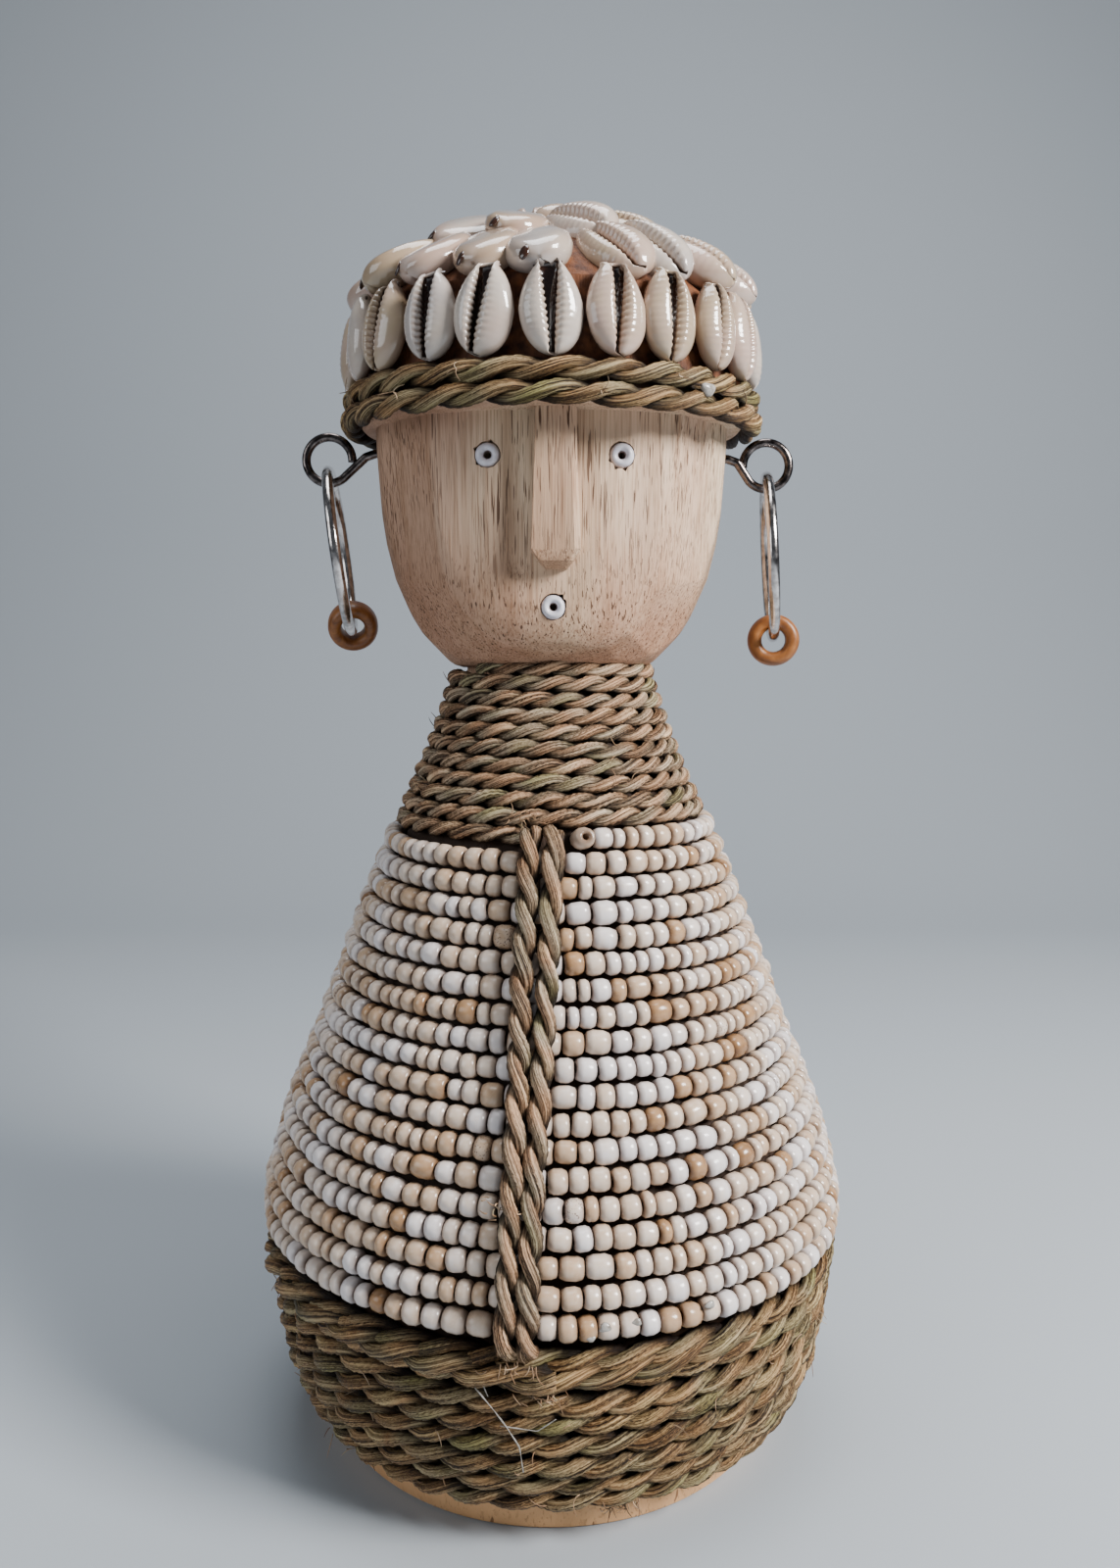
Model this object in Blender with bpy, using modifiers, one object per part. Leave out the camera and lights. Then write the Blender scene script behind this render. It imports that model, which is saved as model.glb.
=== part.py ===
"""Namji doll: a carved wooden figure wound with rope and one long string of beads, in a hat of
cowrie shells, with bead eyes and mouth and metal hoop earrings.

The foot stands on z = 0, the face looks along -Y, and +X is to the right of someone facing it.
"""

import math

import bmesh
import bpy
from mathutils import Vector

MM = 0.001

# Clearance kept between two pieces that touch
GAP = 0.3 * MM
# Sides of the round body, and of each turn of what is wound on it, so that both keep step
SIDES = 16

# Body, from the foot to the top of the neck
BODY_HEIGHT = 193.0 * MM
BELLY_RADIUS = 68.9 * MM
# Height as a share of BODY_HEIGHT, radius as a share of BELLY_RADIUS, from the foot upwards
BODY_SHAPE = (
    (0.000, 0.820),
    (0.026, 0.832),
    (0.065, 0.874),
    (0.119, 0.933),
    (0.176, 0.959),
    (0.238, 0.977),
    (0.295, 1.000),
    (0.326, 0.987),
    (0.409, 0.920),
    (0.531, 0.785),
    (0.639, 0.675),
    (0.764, 0.543),
    (0.852, 0.435),
    (0.930, 0.350),
    (0.979, 0.308),
    (1.000, 0.305),
)

# What is wound on the body, as heights of the wood that it covers
BASE_ROPE_FROM = 8.4 * MM
BEADS_FROM = 50.7 * MM
BEADS_TO = 153.2 * MM
# How far below the top of the body the neck rope stops
NECK_ROPE_BELOW_TOP = 3.2 * MM
NECK_ROPE_TO = BODY_HEIGHT - NECK_ROPE_BELOW_TOP
BASE_ROPE_DIAMETER = 4.9 * MM
BEAD_DIAMETER = 5.3 * MM
NECK_ROPE_DIAMETER = 3.8 * MM
# The open space between the last row of beads and the rope below it
BELOW_BEADS = 1.6 * MM
# Where the string of beads and the neck rope begin, in degrees from the front towards +X
BEADS_START = 7.5
NECK_ROPE_END = -17.0

# The two cords down the front, and their offsets to the side at the top and at the bottom
CORD_DIAMETER = 3.9 * MM
CORD_TOP_X = -1.8 * MM
CORD_BOTTOM_X = -6.9 * MM
CORD_SPREAD_TOP = 5.6 * MM
CORD_SPREAD_BOTTOM = 4.3 * MM
CORD_POINTS = 9

# Head, measured up from its lowest point, which the top of the body reaches into
NECK_IN_HEAD = 2.8 * MM
HEAD_BOTTOM = BODY_HEIGHT - NECK_IN_HEAD
CHIN_HEIGHT = 34.8 * MM
HEAD_SHOULDER = HEAD_BOTTOM + CHIN_HEIGHT
HEAD_HEIGHT = 57.6 * MM
HAT_BASE = HEAD_BOTTOM + HEAD_HEIGHT
HEAD_RADIUS = 43.1 * MM
FACE_DEPTH = 36.3 * MM
# How far the head and the nose reach up into the hat, so that they join
JOIN_DEPTH = 3.4 * MM
HEAD_SIDES = 24
HEAD_RINGS = 8
# Where the lowest ring of the chin lies, as a turn of its curve up from the bottom
CHIN_STARTS = math.radians(8)
PLAN_ROUNDNESS = 2.2
CHIN_ROUNDNESS = 5.0
# Height as a share of HEAD_HEIGHT, half width as a share of HEAD_RADIUS, from the chin upwards
HEAD_SHAPE = (
    (0.000, 0.510),
    (0.012, 0.564),
    (0.040, 0.620),
    (0.127, 0.731),
    (0.245, 0.828),
    (0.375, 0.898),
    (0.523, 0.947),
    (0.670, 0.976),
    (0.847, 0.995),
    (1.000, 1.000),
)

# Nose
NOSE_ABOVE_CHIN = 23.0 * MM
NOSE_BOTTOM = HEAD_BOTTOM + NOSE_ABOVE_CHIN
NOSE_STANDS_OUT = 5.3 * MM
NOSE_TOP_WIDTH = 7.4 * MM
NOSE_TIP_WIDTH = 9.2 * MM
NOSE_ROOT_WIDTH = 10.4 * MM
NOSE_CUT = 3.6 * MM
NOSE_SLOPE = 1.0 * MM
NOSE_X = 0.6 * MM
# What is left at the bottom of the nose, as shares of its width at the tip and at the root
NOSE_TIP_LEFT = 0.4
NOSE_ROOT_LEFT = 0.5

# Ring beads for eyes and mouth, set in drilled sockets
FACE_BEAD_DIAMETER = 6.2 * MM
FACE_BEAD_HOLE = 2.0 * MM
FACE_BEAD_LENGTH = 4.0 * MM
FACE_BEAD_STANDS_OUT = 0.4 * MM
# Its rounded edge, as the shares of its radius and of half its length that stay straight
FACE_BEAD_FLAT_END = 0.85
FACE_BEAD_FLAT_SIDE = 0.55
FACE_BEAD_SIDES = 8
SOCKET_SIDES = 10
EYES_ABOVE_CHIN = 46.7 * MM
EYE_Z = HEAD_BOTTOM + EYES_ABOVE_CHIN
LEFT_EYE_X = -13.9 * MM
RIGHT_EYE_X = 15.8 * MM
MOUTH_ABOVE_CHIN = 13.4 * MM
MOUTH_Z = HEAD_BOTTOM + MOUTH_ABOVE_CHIN

# Hat: a drum with a domed top, carved in one with the head, leaning a little forward
HAT_OVERHANG = 3.4 * MM
HAT_RADIUS = HEAD_RADIUS + HAT_OVERHANG
HAT_TAPER = math.radians(7.2)
HAT_LEAN = math.radians(2.4)
HAT_ROPE_DIAMETER = 4.8 * MM
HAT_ROPE_BOTTOM = -1.1 * MM
# Where the rope climbs to its second turn, and how far from the front each end lies, by azimuth
HAT_ROPE_CLIMBS_FROM = math.radians(155)
HAT_ROPE_CLIMBS_TO = math.radians(205)
HAT_ROPE_ENDS = math.radians(150)
DOME_RISE = 20.1 * MM
DOME_RINGS = 4

# Cowries: the count round the rim sets their size
RIM_COWRIES = 22
COWRIE_SPACE = 1.1 * MM
COWRIE_LENGTH_TO_WIDTH = 1.54
COWRIE_THICKNESS_TO_WIDTH = 0.46
COWRIE_NARROWING = 0.22
# How much of a rim cowrie's length stands against the hat's side
COWRIE_ON_SIDE = 0.92
SECOND_RING_COWRIES = 18
CROWN_GROUPS = 3
COWRIES_IN_A_GROUP = 3
# Where the second ring and the top cowries lie, as shares of the radius of the dome's edge
SECOND_RING_SHARE = 0.81
TOP_SHARE = 0.13
# How far inside the second ring the crown cowries lie, as a share of a cowrie's length
CROWN_STEP = 0.75
# How far round the cowries are shifted from the front, in steps from one to the next
SECOND_RING_SHIFT = -0.1
TOP_SHIFT = 0.3
# How far apart the cowries of a group are, as a share of their width, so that they join
GROUP_STEP = 0.85
CROWN_ASKEW = math.radians(45)

# Earrings
EYE_WIRE = 2.2 * MM
EYE_RING_RADIUS = 5.7 * MM
EYE_LEG_IN_WOOD = 10.0 * MM
EYE_LEG_ABOVE_CENTRE = 1.6 * MM
EYE_RING_FROM = math.radians(218)
EYE_RING_TURN = math.radians(305)
EYE_RING_POINTS = 13
BORE_SIDES = 8
# How far below the hat rope each screw eye's ring lies, as a slant down from level
LEFT_EYE_SLANT = math.radians(48)
RIGHT_EYE_SLANT = math.radians(62)
HOOP_WIRE = 2.7 * MM
HOOP_RADIUS = 19.75 * MM
HOOP_STEPS = 20
HOOP_SIDES = 6
LEFT_HOOP_LEAN = math.radians(7)
LEFT_HOOP_TURN = math.radians(6.3)
RIGHT_HOOP_LEAN = math.radians(-3.5)
RIGHT_HOOP_TURN = math.radians(7.5)
EARRING_BEAD_DIAMETER = 13.0 * MM
EARRING_BEAD_HOLE = 6.0 * MM
EARRING_BEAD_LENGTH = 6.4 * MM
EARRING_BEAD_SIDES = 10
# Its rounded edge, as the shares of its radius and of half its length that stay straight
EARRING_BEAD_FLAT_END = 0.8
EARRING_BEAD_FLAT_SIDE = 0.4
# How far round its hoop the left bead has slid, to the back
LEFT_BEAD_SLID = math.radians(28)


def clear_scene():
    for old in list(bpy.data.objects):
        bpy.data.objects.remove(old, do_unlink=True)


def collection(name):
    made = bpy.data.collections.new(name)
    bpy.context.scene.collection.children.link(made)
    return made


def material(name, colour, roughness, metallic=0.0):
    made = bpy.data.materials.new(name)
    made.use_nodes = True
    shader = made.node_tree.nodes["Principled BSDF"]
    shader.inputs["Base Color"].default_value = (*colour, 1.0)
    shader.inputs["Roughness"].default_value = roughness
    shader.inputs["Metallic"].default_value = metallic
    made.diffuse_color = (*colour, 1.0)
    return made


clear_scene()
DOLL = collection("namji_doll")
HELPERS = collection("helpers")
WOOD = material("wood", (0.62, 0.42, 0.27), 0.75)
ROPE = material("seagrass_rope", (0.27, 0.21, 0.12), 0.85)
BEADS = material("body_beads", (0.72, 0.60, 0.47), 0.3)
WHITE_BEAD = material("face_bead", (0.80, 0.79, 0.80), 0.25)
SHELL = material("cowrie_shell", (0.74, 0.64, 0.56), 0.2)
DARK_METAL = material("dark_nickel", (0.13, 0.11, 0.11), 0.3, 1.0)
BRIGHT_METAL = material("bright_nickel", (0.62, 0.58, 0.55), 0.15, 1.0)
EARRING_WOOD = material("stained_bead", (0.42, 0.17, 0.05), 0.45)


def place(name, data, finish=None, parent=None, location=(0, 0, 0), rotation=(0, 0, 0)):
    """A new object of the doll."""
    made = bpy.data.objects.new(name, data)
    made.location = location
    made.rotation_euler = rotation
    made.parent = parent
    if finish:
        data.materials.append(finish)
    DOLL.objects.link(made)
    return made


def as_helper(obj):
    """Turns an object into a hidden operand of a Boolean."""
    for owner in list(obj.users_collection):
        owner.objects.unlink(obj)
    HELPERS.objects.link(obj)
    obj.hide_render = True
    obj.display_type = "WIRE"
    return obj


def combine(target, other, operation):
    change = target.modifiers.new(operation.lower() + "_" + other.name, "BOOLEAN")
    change.operation = operation
    change.object = as_helper(other)


def mesh_from(name, bm, smooth_angle=math.radians(35)):
    data = bpy.data.meshes.new(name)
    bmesh.ops.recalc_face_normals(bm, faces=bm.faces)
    bm.to_mesh(data)
    bm.free()
    data.shade_smooth()
    data.set_sharp_from_angle(angle=smooth_angle)
    return data


def turned(name, profile, steps, closed=False, **where):
    """A profile of (radius, height), running down its outer side, turned about Z."""
    data = bpy.data.meshes.new(name)
    edges = [(i, i + 1) for i in range(len(profile) - 1)]
    if closed:
        edges.append((len(profile) - 1, 0))
    data.from_pydata([(r, 0, z) for r, z in profile], edges, [])
    made = place(name, data, **where)
    screw = made.modifiers.new("turn", "SCREW")
    screw.steps = steps
    screw.render_steps = steps
    screw.use_merge_vertices = True
    screw.merge_threshold = 0.00001
    return made


def loft(name, rings, **where):
    """A closed solid through rings of points, all with the same count."""
    bm = bmesh.new()
    rows = [[bm.verts.new(point) for point in ring] for ring in rings]
    for low, high in zip(rows, rows[1:]):
        for i, corner in enumerate(low):
            j = (i + 1) % len(low)
            bm.faces.new((corner, low[j], high[j], high[i]))
    bm.faces.new(rows[0])
    bm.faces.new(rows[-1])
    return place(name, mesh_from(name, bm), **where)


def wire(name, points, radius, resolution=1, **where):
    """A round wire or rope along the points, its ends closed."""
    data = bpy.data.curves.new(name, "CURVE")
    data.dimensions = "3D"
    data.twist_mode = "Z_UP"
    data.bevel_depth = radius
    data.bevel_resolution = resolution
    data.use_fill_caps = True
    line = data.splines.new("POLY")
    line.points.add(len(points) - 1)
    for slot, point in zip(line.points, points):
        slot.co = (*point, 1.0)
    return place(name, data, **where)


# The body's outline, as (radius, height) with the direction that faces outwards
BODY_OUTLINE = [
    Vector((radius * BELLY_RADIUS, height * BODY_HEIGHT)) for height, radius in BODY_SHAPE
]


def outline_normals(outline):
    normals = []
    last = len(outline) - 1
    for i in range(len(outline)):
        along = outline[min(i + 1, last)] - outline[max(i - 1, 0)]
        normals.append(Vector((along.y, -along.x)).normalized())
    return normals


BODY_NORMALS = outline_normals(BODY_OUTLINE)


def length_at_height(height):
    """How far along the outline, from the foot, the wood reaches this height."""
    walked = 0.0
    for low, high in zip(BODY_OUTLINE, BODY_OUTLINE[1:]):
        step = (high - low).length
        if height <= high.y:
            return walked + step * (height - low.y) / (high.y - low.y)
        walked += step
    return walked


def point_on_body(along, offset):
    """(radius, height) of a point held off the wood by the offset, this far along the outline."""
    walked = 0.0
    for i, (low, high) in enumerate(zip(BODY_OUTLINE, BODY_OUTLINE[1:])):
        step = (high - low).length
        if along <= walked + step or i == len(BODY_OUTLINE) - 2:
            share = (along - walked) / step
            normal = BODY_NORMALS[i].lerp(BODY_NORMALS[i + 1], share).normalized()
            return low.lerp(high, share) + normal * offset
        walked += step


def on_flat_sides(radius, azimuth):
    """The radius of a body with SIDES flat sides, at an azimuth from the front."""
    side = 2 * math.pi / SIDES
    return radius * math.cos(side / 2) / math.cos(azimuth % side - side / 2)


def at_azimuth(radius, azimuth, height):
    """A point at an azimuth measured from the front (-Y) towards +X."""
    flat = on_flat_sides(radius, azimuth)
    return (flat * math.sin(azimuth), -flat * math.cos(azimuth), height)


def stations(start, end):
    """Azimuths from start to end, with each corner of the flat-sided body between them."""
    side = 2 * math.pi / SIDES
    first = math.floor(start / side) + 1
    last = math.ceil(end / side) - 1
    return [start] + [i * side for i in range(first, last + 1)] + [end]


def winding(name, top, top_azimuth, turns, diameter, finish):
    """What is wound on the body, downwards from a length along the outline."""
    pitch = diameter + GAP
    offset = diameter / 2 + GAP
    points = []
    for azimuth in stations(top_azimuth, top_azimuth + 2 * math.pi * turns):
        along = top - pitch * (azimuth - top_azimuth) / (2 * math.pi)
        radius, height = point_on_body(along, offset)
        points.append(at_azimuth(radius, azimuth, height))
    return wire(name, points, diameter / 2, resolution=0, finish=finish)


def wound_pieces():
    """The neck rope, the string of beads and the base rope, each starting where the last ends."""
    beads_top = length_at_height(BEADS_TO) - BEAD_DIAMETER / 2
    bead_pitch = BEAD_DIAMETER + GAP
    bead_turns = (beads_top - length_at_height(BEADS_FROM) - BEAD_DIAMETER / 2) / bead_pitch
    beads_azimuth = math.radians(BEADS_START)
    winding("bead_string", beads_top, beads_azimuth, bead_turns, BEAD_DIAMETER, BEADS)

    neck_pitch = NECK_ROPE_DIAMETER + GAP
    side_by_side = (BEAD_DIAMETER + NECK_ROPE_DIAMETER) / 2 + GAP
    once_round = 1 - (BEADS_START - NECK_ROPE_END) / 360
    neck_bottom = beads_top + side_by_side - neck_pitch * once_round
    neck_top = length_at_height(NECK_ROPE_TO) - NECK_ROPE_DIAMETER / 2
    neck_turns = (neck_top - neck_bottom) / neck_pitch
    neck_azimuth = math.radians(NECK_ROPE_END) - 2 * math.pi * neck_turns
    winding("neck_rope", neck_top, neck_azimuth, neck_turns, NECK_ROPE_DIAMETER, ROPE)

    beads_bottom = beads_top - bead_turns * bead_pitch
    step = abs(BEAD_DIAMETER - BASE_ROPE_DIAMETER) / 2 + BELOW_BEADS
    rope_top = beads_bottom - step
    rope_bottom = length_at_height(BASE_ROPE_FROM) + BASE_ROPE_DIAMETER / 2 + GAP
    rope_turns = (rope_top - rope_bottom) / (BASE_ROPE_DIAMETER + GAP)
    end_space = (BEAD_DIAMETER + BASE_ROPE_DIAMETER) / BELLY_RADIUS
    rope_azimuth = beads_azimuth + 2 * math.pi * bead_turns + end_space
    winding("base_rope", rope_top, rope_azimuth, rope_turns, BASE_ROPE_DIAMETER, ROPE)


def front_cord(name, side):
    """A cord that lies over the rows of beads, from the neck rope to the base rope."""
    radius = CORD_DIAMETER / 2
    top = length_at_height(BEADS_TO) - BEAD_DIAMETER / 2 - radius
    bottom = length_at_height(BEADS_FROM) - GAP
    over_beads = GAP + BEAD_DIAMETER + GAP + radius
    points = []
    for i in range(CORD_POINTS):
        share = i / (CORD_POINTS - 1)
        distance, height = point_on_body(top + (bottom - top) * share, over_beads)
        middle = CORD_TOP_X + (CORD_BOTTOM_X - CORD_TOP_X) * share
        spread = CORD_SPREAD_TOP + (CORD_SPREAD_BOTTOM - CORD_SPREAD_TOP) * share
        x = middle + side * spread / 2
        points.append((x, -math.sqrt(distance**2 - x**2), height))
    wire(name, points, radius, finish=ROPE)


def rounded(share, roundness):
    """How far a rounded form still reaches at a share of the way to its end."""
    return (1 - min(share, 1.0) ** roundness) ** (1 / roundness)


def head_half_width(height):
    """Half the width of the head at a height, from HEAD_SHAPE."""
    level = (height - HEAD_BOTTOM) / HEAD_HEIGHT
    for (low, narrow), (high, wide) in zip(HEAD_SHAPE, HEAD_SHAPE[1:]):
        if level <= high:
            return HEAD_RADIUS * (narrow + (wide - narrow) * (level - low) / (high - low))
    return HEAD_RADIUS


def head_half_sizes(height):
    """(half width, depth of the face, depth of the back) of the head at a height."""
    down = max(0.0, (HEAD_SHOULDER - height) / CHIN_HEIGHT)
    side = head_half_width(height)
    return side, FACE_DEPTH * rounded(down, CHIN_ROUNDNESS), side


def face_y(x, height):
    """Where the face is, straight in front of a point."""
    side, front, _ = head_half_sizes(height)
    return -front * rounded(abs(x) / side, PLAN_ROUNDNESS)


def head_ring(height):
    side, front, back = head_half_sizes(height)
    ring = []
    for i in range(HEAD_SIDES):
        angle = 2 * math.pi * i / HEAD_SIDES
        across, deep = math.cos(angle), math.sin(angle)
        x = side * math.copysign(abs(across) ** (2 / PLAN_ROUNDNESS), across)
        depth = back if deep > 0 else front
        y = depth * math.copysign(abs(deep) ** (2 / PLAN_ROUNDNESS), deep)
        ring.append((x, y, height))
    return ring


def head():
    """The head from inside the neck up into the hat, its rings closer together at the chin."""
    heights = []
    for i in range(HEAD_RINGS):
        turn = CHIN_STARTS + (math.pi / 2 - CHIN_STARTS) * i / (HEAD_RINGS - 1)
        heights.append(HEAD_SHOULDER - CHIN_HEIGHT * math.cos(turn))
    heights.append(HAT_BASE + JOIN_DEPTH)
    return loft("head", [head_ring(height) for height in heights])


def nose():
    """A wedge that widens to its tip, cut off at an angle below."""
    root = -FACE_DEPTH + NOSE_STANDS_OUT
    front = -FACE_DEPTH - NOSE_STANDS_OUT
    rings = []
    cut_tip, cut_root = NOSE_TIP_WIDTH * NOSE_TIP_LEFT, NOSE_ROOT_WIDTH * NOSE_ROOT_LEFT
    for height, tip, base, y in (
        (NOSE_BOTTOM, cut_tip, cut_root, front + NOSE_SLOPE),
        (NOSE_BOTTOM + NOSE_CUT, NOSE_TIP_WIDTH, NOSE_ROOT_WIDTH, front),
        (HAT_BASE + JOIN_DEPTH, NOSE_TOP_WIDTH, NOSE_ROOT_WIDTH, front + NOSE_SLOPE),
    ):
        corners = ((-base, root), (-tip, y), (tip, y), (base, root))
        rings.append([(NOSE_X + half / 2, depth, height) for half, depth in corners])
    return loft("nose", rings)


def hat_wall_radius(height):
    """Radius of the hat's side at a height above its underside."""
    return HAT_RADIUS - height * math.tan(HAT_TAPER)


# Each cowrie's size follows from the room round the middle of the rim
ROPE_BAND = HAT_ROPE_BOTTOM + 2 * (HAT_ROPE_DIAMETER + GAP)
COWRIE_WIDTH = 2 * math.pi * HAT_RADIUS / RIM_COWRIES - COWRIE_SPACE
COWRIE_LENGTH = COWRIE_WIDTH * COWRIE_LENGTH_TO_WIDTH
COWRIE_THICKNESS = COWRIE_WIDTH * COWRIE_THICKNESS_TO_WIDTH
HAT_SIDE = ROPE_BAND + COWRIE_LENGTH * COWRIE_ON_SIDE
DOME_EDGE = hat_wall_radius(HAT_SIDE)
DOME_CURVE = (DOME_EDGE**2 + DOME_RISE**2) / (2 * DOME_RISE)


def dome_point(radius):
    """(height, slope) of the dome at a radius, above the hat's underside."""
    slope = math.asin(radius / DOME_CURVE)
    return HAT_SIDE + DOME_RISE - DOME_CURVE * (1 - math.cos(slope)), slope


def hat(hat_frame):
    """The drum and its domed top, turned about the leaning axis."""
    profile = []
    for i in range(DOME_RINGS + 1):
        radius = DOME_EDGE * math.sin(math.pi / 2 * i / DOME_RINGS)
        profile.append((radius, dome_point(radius)[0]))
    profile.append((HAT_RADIUS, 0))
    profile.append((0, 0))
    return turned("hat", profile, SIDES, parent=hat_frame)


def socket(name, x, height):
    """A drilled hole for a ring bead, from in front of the face inwards."""
    y = face_y(x, height)
    deep = FACE_BEAD_LENGTH - FACE_BEAD_STANDS_OUT + GAP
    bm = bmesh.new()
    radius = FACE_BEAD_DIAMETER / 2 + GAP
    bmesh.ops.create_cone(
        bm, cap_ends=True, segments=SOCKET_SIDES, radius1=radius, radius2=radius, depth=2 * deep
    )
    return place(
        name, mesh_from(name, bm), location=(x, y, height), rotation=(math.pi / 2, 0, 0)
    )


def face_bead(name, x, height):
    """A ring bead that sits in its socket with its hole facing out."""
    outer, hole = FACE_BEAD_DIAMETER / 2, FACE_BEAD_HOLE / 2
    half = FACE_BEAD_LENGTH / 2
    end, side = outer * FACE_BEAD_FLAT_END, half * FACE_BEAD_FLAT_SIDE
    profile = [(hole, half), (end, half), (outer, side), (outer, -side), (end, -half), (hole, -half)]
    y = face_y(x, height) - FACE_BEAD_STANDS_OUT + half
    turned(
        name,
        profile,
        FACE_BEAD_SIDES,
        closed=True,
        finish=WHITE_BEAD,
        location=(x, y, height),
        rotation=(math.pi / 2, 0, 0),
    )


def bore(name, side, height):
    """The hole in the side of the head for the leg of a screw eye."""
    bm = bmesh.new()
    radius = EYE_WIRE / 2 + GAP
    deep = 2 * (EYE_LEG_IN_WOOD + GAP)
    bmesh.ops.create_cone(
        bm, cap_ends=True, segments=BORE_SIDES, radius1=radius, radius2=radius, depth=deep
    )
    return place(
        name,
        mesh_from(name, bm),
        location=(side * HEAD_RADIUS, 0, height),
        rotation=(0, math.pi / 2, 0),
    )


def eye_ring_centre(side, drop):
    """(x, z) of a screw eye's ring, clear of the hat's rope: drop is its slant below the rope."""
    rope_x = hat_wall_radius(0) + GAP + HAT_ROPE_DIAMETER / 2
    rope_z = HAT_BASE + HAT_ROPE_BOTTOM + HAT_ROPE_DIAMETER / 2
    away = HAT_ROPE_DIAMETER / 2 + EYE_WIRE / 2 + EYE_RING_RADIUS + 2 * GAP
    return side * (rope_x + away * math.cos(drop)), rope_z - away * math.sin(drop)


def screw_eye(name, side, centre):
    """A wire that comes out of the head, dips and turns back on itself in an open ring."""
    centre_x, centre_z = centre
    leg_z = centre_z + EYE_LEG_ABOVE_CENTRE
    points = [
        (side * (HEAD_RADIUS - EYE_LEG_IN_WOOD), 0, leg_z),
        (side * (HEAD_RADIUS + EYE_WIRE / 2), 0, leg_z),
    ]
    for i in range(EYE_RING_POINTS):
        turn = EYE_RING_FROM + EYE_RING_TURN * i / (EYE_RING_POINTS - 1)
        x = centre_x + side * EYE_RING_RADIUS * math.cos(turn)
        points.append((x, 0, centre_z + EYE_RING_RADIUS * math.sin(turn)))
    wire(name, points, EYE_WIRE / 2, finish=DARK_METAL)


def earring(which, side, centre, lean, turn, bead_turn):
    """A hoop that hangs in the screw eye's ring, with a ring bead on the hoop.

    lean tips the hoop's foot towards the head, turn faces its front edge inwards, and bead_turn
    is how far round the hoop, to the back, the bead has slid.
    """
    centre_x, centre_z = centre
    hook = centre_z - EYE_RING_RADIUS + EYE_WIRE / 2 + GAP + HOOP_WIRE / 2
    pivot = bpy.data.objects.new("hoop_pivot_" + which, None)
    pivot.location = (centre_x, 0, hook)
    pivot.rotation_euler = (0, side * lean, -side * turn)
    DOLL.objects.link(pivot)

    bpy.ops.mesh.primitive_torus_add(
        major_radius=HOOP_RADIUS,
        minor_radius=HOOP_WIRE / 2,
        major_segments=HOOP_STEPS,
        minor_segments=HOOP_SIDES,
        location=(0, 0, -HOOP_RADIUS),
        rotation=(0, math.pi / 2, 0),
    )
    hoop = bpy.context.active_object
    hoop.name = "hoop_" + which
    hoop.data.name = hoop.name
    hoop.data.materials.append(BRIGHT_METAL)
    for owner in list(hoop.users_collection):
        owner.objects.unlink(hoop)
    DOLL.objects.link(hoop)
    hoop.parent = pivot

    outer, hole = EARRING_BEAD_DIAMETER / 2, EARRING_BEAD_HOLE / 2
    half = EARRING_BEAD_LENGTH / 2
    end, level = outer * EARRING_BEAD_FLAT_END, half * EARRING_BEAD_FLAT_SIDE
    dip = half * EARRING_BEAD_FLAT_END
    profile = [(hole, dip), (end, half), (outer, level), (outer, -level), (end, -half), (hole, -dip)]
    hangs = HOOP_RADIUS + (EARRING_BEAD_HOLE - HOOP_WIRE) / 4
    turned(
        "earring_bead_" + which,
        profile,
        EARRING_BEAD_SIDES,
        closed=True,
        finish=EARRING_WOOD,
        parent=pivot,
        location=(0, hangs * math.sin(bead_turn), -HOOP_RADIUS - hangs * math.cos(bead_turn)),
        rotation=(math.pi / 2 + bead_turn, 0, 0),
    )


def hat_rope(hat_frame):
    """Two level turns of one rope, which climbs from the first to the second at the back."""
    radius = HAT_ROPE_DIAMETER / 2
    climb = HAT_ROPE_CLIMBS_TO - HAT_ROPE_CLIMBS_FROM
    points = []
    for azimuth in stations(-HAT_ROPE_ENDS, HAT_ROPE_ENDS + 2 * math.pi):
        share = (azimuth - HAT_ROPE_CLIMBS_FROM) / climb
        share = min(max(share, 0.0), 1.0)
        height = HAT_ROPE_BOTTOM + radius + share * (HAT_ROPE_DIAMETER + GAP)
        distance = hat_wall_radius(max(height, 0.0)) + GAP + radius
        points.append(at_azimuth(distance, azimuth, height))
    wire("hat_rope", points, radius, resolution=0, finish=ROPE, parent=hat_frame)


def cowrie_body():
    """A cowrie as a rounded solid: length along Z, width along X, flat of the shell to -Y."""
    bm = bmesh.new()
    bmesh.ops.create_uvsphere(bm, u_segments=6, v_segments=4, radius=0.5)
    for vert in bm.verts:
        narrow = 1 - COWRIE_NARROWING * max(vert.co.z, 0) * 2
        vert.co.x *= COWRIE_WIDTH * narrow
        vert.co.y *= COWRIE_THICKNESS * narrow
        vert.co.z *= COWRIE_LENGTH
    return bm


def cowrie(name, hat_frame, azimuth, radius, height, slope, turn=0.0):
    """A cowrie laid on the hat: slope 90 degrees stands it on the side, 0 lays it on the top."""
    data = mesh_from(name, cowrie_body())
    arm = bpy.data.objects.new(name + "_arm", None)
    arm.parent = hat_frame
    arm.rotation_euler = (0, 0, azimuth)
    DOLL.objects.link(arm)
    lift = COWRIE_THICKNESS / 2 + GAP
    where = (0, -radius - lift * math.sin(slope), height + lift * math.cos(slope))
    made = place(name, data, finish=SHELL, parent=arm, location=where)
    made.rotation_mode = "XYZ"
    made.rotation_euler = (slope - math.pi / 2, 0, 0)
    made.rotation_euler.rotate_axis("Y", turn)
    return made


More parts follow.
